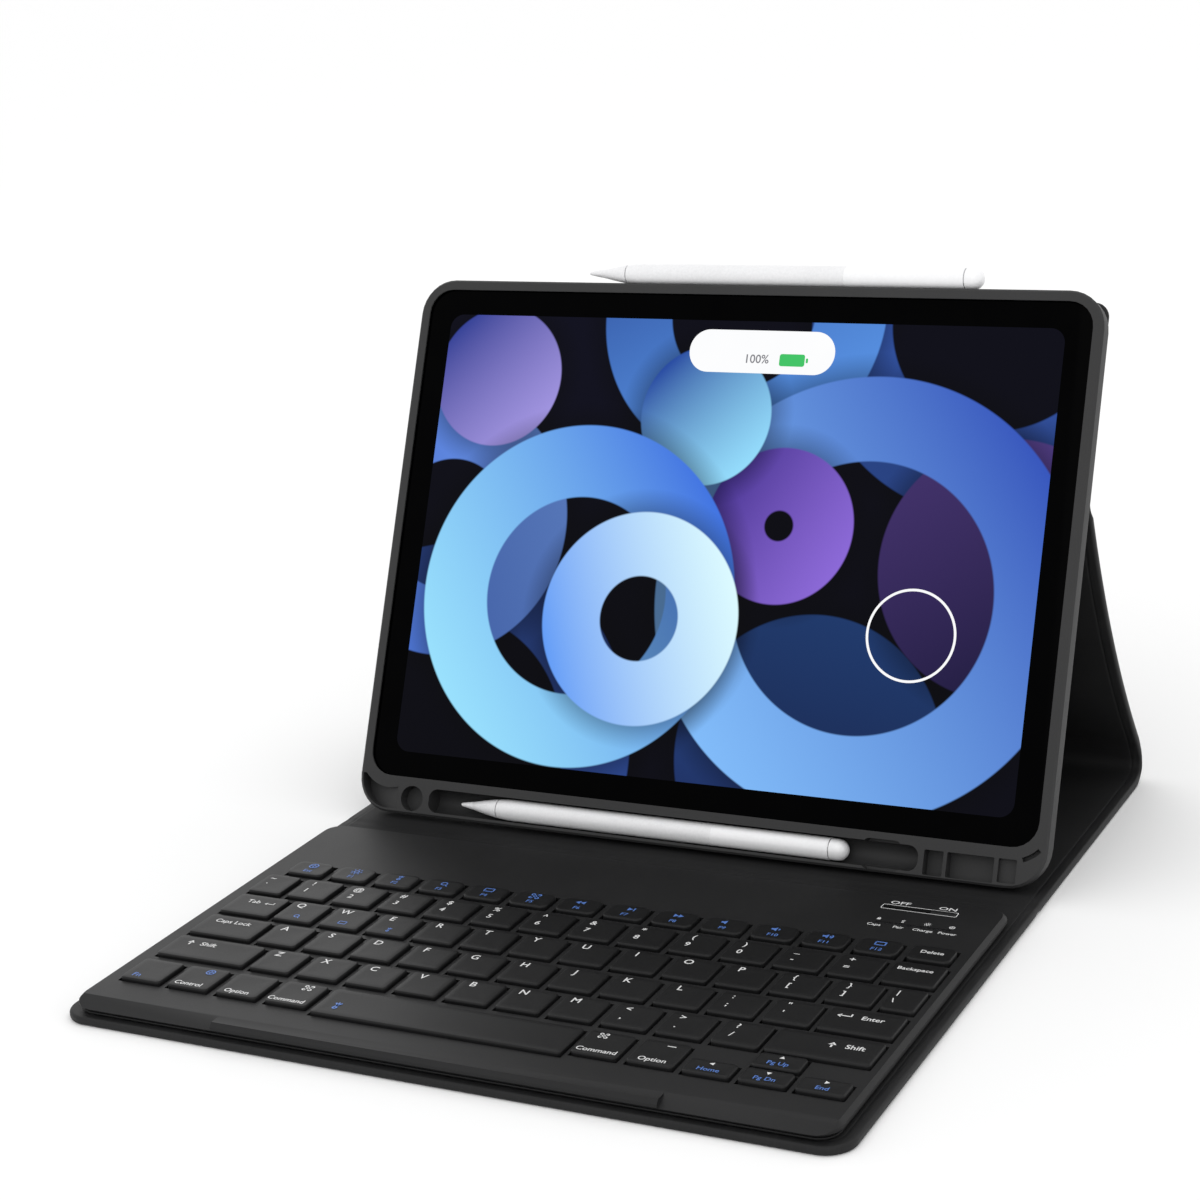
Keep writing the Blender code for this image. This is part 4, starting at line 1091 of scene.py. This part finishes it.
def make_display():
    """The lit picture, a hair above the glass, with its own flat coordinates in picture heights."""
    left = -DISPLAY_WIDTH / 2
    low_v, high_v = shell_reach("tablet_glass", UP_GLASS)
    foot = (low_v + high_v - DISPLAY_HEIGHT) / 2
    outline = rounded_outline(left, -left, foot, foot + DISPLAY_HEIGHT, DISPLAY_CORNER, 10)
    mesh = bpy.data.meshes.new("display")
    points = [tuple(SHELL_FRAME @ Vector((u, v, DISPLAY_LIFT))) for u, v in outline]
    mesh.from_pydata(points, [], [tuple(range(len(outline)))])
    layer = mesh.uv_layers.new(name="flat")
    for loop in mesh.loops:
        u, v = outline[loop.vertex_index]
        layer.data[loop.index].uv = ((u - left) / DISPLAY_HEIGHT, (v - foot) / DISPLAY_HEIGHT)
    display = link_mesh("display", mesh, [picture_material()])
    display.visible_diffuse = False
    display.visible_glossy = False
    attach(display, "shell")


def make_screen_signs():
    """A white pill with the charge in it, and a thin circle."""
    white = glow_material("sign_white", (1.0, 1.0, 1.0), (0.94, 0.95, 0.97))
    grey = glow_material("sign_grey", (0.25, 0.25, 0.27), (0.2, 0.2, 0.22))
    green = glow_material("sign_green", (0.06, 0.6, 0.15), (0.05, 0.5, 0.12))
    pill = level_rectangle(53.4 * MM, 14.8 * MM, 7.3 * MM, 12, PILL_PLACE, 0)
    screen_sign("charge_pill", [pill], SIGN_HEIGHT, [white])
    battery_x = PILL_PLACE[0] + 11.5 * MM
    level_y = PILL_PLACE[1] - 2.6 * MM
    signs = [
        text_shape("100%", 4.2 * MM, (PILL_PLACE[0] - 1.5 * MM, level_y), 0),
        level_rectangle(9.2 * MM, 4.2 * MM, 0.8 * MM, 4, (battery_x, level_y), 1),
        level_rectangle(0.8 * MM, 1.6 * MM, 0.3 * MM, 3, (battery_x + 5.4 * MM, level_y), 1),
    ]
    screen_sign("charge_level", signs, 1.5 * SIGN_HEIGHT, [grey, green])
    circle = ring_shape(15.0 * MM, 0.85 * MM, CIRCLE_PLACE, 0, steps=96)
    screen_sign("touch_circle", [circle], SIGN_HEIGHT, [white])


def make_tablet():
    make_glass()
    make_display()
    make_screen_signs()
    refined("tablet_housing", "shell", HOUSING_METAL, 0.25 * MM, 3)
    make_camera()


def make_camera():
    """The rear lens: a metal rim, a dark glass disc and a small ring around the lens itself."""
    low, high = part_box("tablet_camera")
    centre = SHELL_FRAME.inverted() @ ((low + high) / 2)
    back_n, front_n = shell_reach("tablet_camera", OUT_OF_GLASS)
    radius = (high.x - low.x) / 2
    for name, outer, depth, material in (
        ("camera_rim", radius, 0.0, HOUSING_METAL),
        ("camera_glass", radius - 1.1 * MM, -0.12 * MM, LENS_BLACK),
        ("camera_ring", radius * 0.5, -0.22 * MM, STEEL),
        ("camera_lens", radius * 0.4, -0.3 * MM, LENS_BLACK),
    ):
        low_n = back_n + depth
        profile = [(inset * MM, low_n + height * MM) for inset, height in LENS_EDGE] + [(0.0, front_n)]
        piece = shell_object(name, disc_mesh(centre, outer, profile, 16, 0.995), material)
        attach(piece, "shell")
        if name == "camera_rim":
            take_place(piece, "tablet_camera")


# ---------------- styluses


def turned_piece(name, centre, profile, material, body, sides=56):
    """A solid of revolution along X: (x, radius) pairs from its left end to its right end."""
    rings = []
    for x, radius in profile:
        ring = []
        for side in range(sides):
            angle = 2 * math.pi * side / sides
            ring.append((x, centre.y + radius * math.cos(angle), centre.z + radius * math.sin(angle)))
        rings.append(ring)
    points, faces = skin_rings(rings)
    piece = make_object(name, points, faces, [material], 35.0)
    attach(piece, body)
    return piece


# The fine tip in metres behind its point, and the cone in shares of its length, with radii in millimetres.
POINT = ((0.0, 0.05), (0.08 * MM, 0.28), (0.3 * MM, 0.5), (0.9 * MM, 0.68))
CONE = ((0.3, 1.35), (0.31, 1.3), (0.325, 1.3), (0.335, 1.42), (0.65, 2.4), (0.97, 3.28), (1.0, 3.2))
# The barrel's narrower front end, as (distance, radius) in millimetres.
NECK = ((0.0, 3.2), (0.12, 3.36), (1.4, 3.5), (3.2, 3.68))
NECK_LENGTH = 5.6 * MM
EDGE_DRAW = 0.1 * MM             # how far the barrel's and the cap's edges draw in
BRIGHT_FROM = 0.66               # share of the barrel where the brighter white begins


def make_stylus(body):
    """Cone tip with a fine ring, a long barrel in two whites, and a round cap behind a narrow groove."""
    tip_low, tip_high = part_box(body + "_tip")
    barrel_low, barrel_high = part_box(body + "_barrel")
    cap_low, cap_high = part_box(body + "_cap")
    centre = (barrel_low + barrel_high) / 2
    radius = (barrel_high.y - barrel_low.y) / 2
    length = tip_high.x - tip_low.x

    stations = POINT + tuple((length * share, size) for share, size in CONE)
    profile = [(tip_low.x + distance, size * MM) for distance, size in stations]
    take_place(turned_piece(body + "_point", centre, profile, STYLUS_WHITE, body), body + "_tip")

    change = barrel_low.x + (barrel_high.x - barrel_low.x) * BRIGHT_FROM
    profile = [(barrel_low.x + distance * MM, size * MM) for distance, size in NECK]
    profile += [
        (barrel_low.x + NECK_LENGTH, radius), (change - EDGE_DRAW, radius), (change, radius - 0.08 * MM)
    ]
    take_place(turned_piece(body + "_fore_barrel", centre, profile, STYLUS_WHITE, body), body + "_barrel")
    profile = [
        (change, radius - 0.08 * MM), (change + EDGE_DRAW, radius),
        (barrel_high.x - 0.12 * MM, radius), (barrel_high.x, radius - 0.12 * MM),
    ]
    turned_piece(body + "_aft_barrel", centre, profile, STYLUS_BRIGHT, body)
    groove = radius - 0.35 * MM
    profile = [(barrel_high.x - 0.2 * MM, groove), (cap_low.x + 0.2 * MM, groove)]
    turned_piece(body + "_ring", centre, profile, STYLUS_RING, body)

    dome = radius - EDGE_DRAW
    profile = [(cap_low.x, radius - 0.22 * MM), (cap_low.x + 0.12 * MM, dome)]
    shoulder = cap_low.x + (cap_high.x - cap_low.x) * 0.35
    for step in range(9):
        angle = math.radians(84 * step / 8)
        x = shoulder + (cap_high.x - shoulder) * math.sin(angle)
        profile.append((x, max(dome * math.cos(angle), EDGE_DRAW)))
    take_place(turned_piece(body + "_end", centre, profile, STYLUS_BRIGHT, body), body + "_cap")


# ---------------- hidden parts, stage, camera


def finish_hidden_parts():
    """Materials of the CAD nodes that are shown as they are."""
    for node, material in (
        ("battery", FOIL), ("controller_board", BOARD_GREEN), ("switch_sheet", FILM),
        ("indicator_lens", LENS_SMOKE), ("tablet_battery", FOIL),
        ("keyboard_magnet_left", STEEL), ("keyboard_magnet_right", STEEL),
    ):
        NODES[node].data.materials.clear()
        NODES[node].data.materials.append(material)


def make_stage():
    """A pale floor, a white surround and two soft lamps."""
    half = 30.0
    below = -0.05 * MM
    mesh = bpy.data.meshes.new("floor")
    corners = [(-half, -half, below), (half, -half, below), (half, half, below), (-half, half, below)]
    mesh.from_pydata(corners, [], [(0, 1, 2, 3)])
    pale, tree, shader = new_material("pale_floor")
    set_inputs(tree, shader, Base_Color=(0.9, 0.9, 0.9, 1.0), Roughness=0.9)
    mesh.materials.append(pale)
    add_object("floor", mesh)

    world = bpy.data.worlds.new("studio")
    world.use_nodes = True
    tree = world.node_tree
    set_inputs(tree, tree.nodes["Background"], Color=(1.0, 1.0, 1.0, 1.0), Strength=1.1)
    bpy.context.scene.world = world
    bpy.context.scene.view_settings.view_transform = "Standard"
    for name, place, size, power in (
        ("back_left_light", (-1.17, 1.4, 0.81), 0.8, 1.3),
        ("front_light", (0.5, -1.7, 1.5), 1.6, 6.0),
    ):
        light = bpy.data.lights.new(name, "AREA")
        light.size = size
        light.energy = power
        lamp = add_object(name, light)
        lamp.location = place
        lamp.rotation_euler = (Vector((0.0, 0.0, 0.08)) - Vector(place)).to_track_quat("-Z", "Y").to_euler()


def make_camera_view():
    """A long lens to the right of the case and a little above it, looking back to the left."""
    yaw = math.radians(27.69)
    pitch = math.radians(16.62)
    roll = math.radians(-4.03)
    place = Vector((354.0 * MM, FRONT_Y - 548.6 * MM, 329.9 * MM))
    forward = Vector((-math.sin(yaw) * math.cos(pitch), math.cos(yaw) * math.cos(pitch), -math.sin(pitch)))
    level = Vector((math.cos(yaw), math.sin(yaw), 0.0))
    upright = level.cross(forward)
    right = math.cos(roll) * level + math.sin(roll) * upright
    above = -math.sin(roll) * level + math.cos(roll) * upright
    lens = bpy.data.cameras.new("camera")
    lens.sensor_width = 36.0
    lens.lens = 77.34
    lens.shift_x = 0.0013
    lens.shift_y = 0.0041
    lens.clip_end = 200.0
    camera = add_object("camera", lens)
    camera.matrix_world = Matrix.Translation(place) @ Matrix((right, above, -forward)).transposed().to_4x4()
    bpy.context.scene.camera = camera


make_camera_view()
make_stage()
make_all_folio()
make_deck()
make_keys()
refined("tablet_shell", "shell", RUBBER, 0.3 * MM, 3)
make_tablet()
make_stylus("groove_stylus")
make_stylus("top_stylus")
finish_hidden_parts()
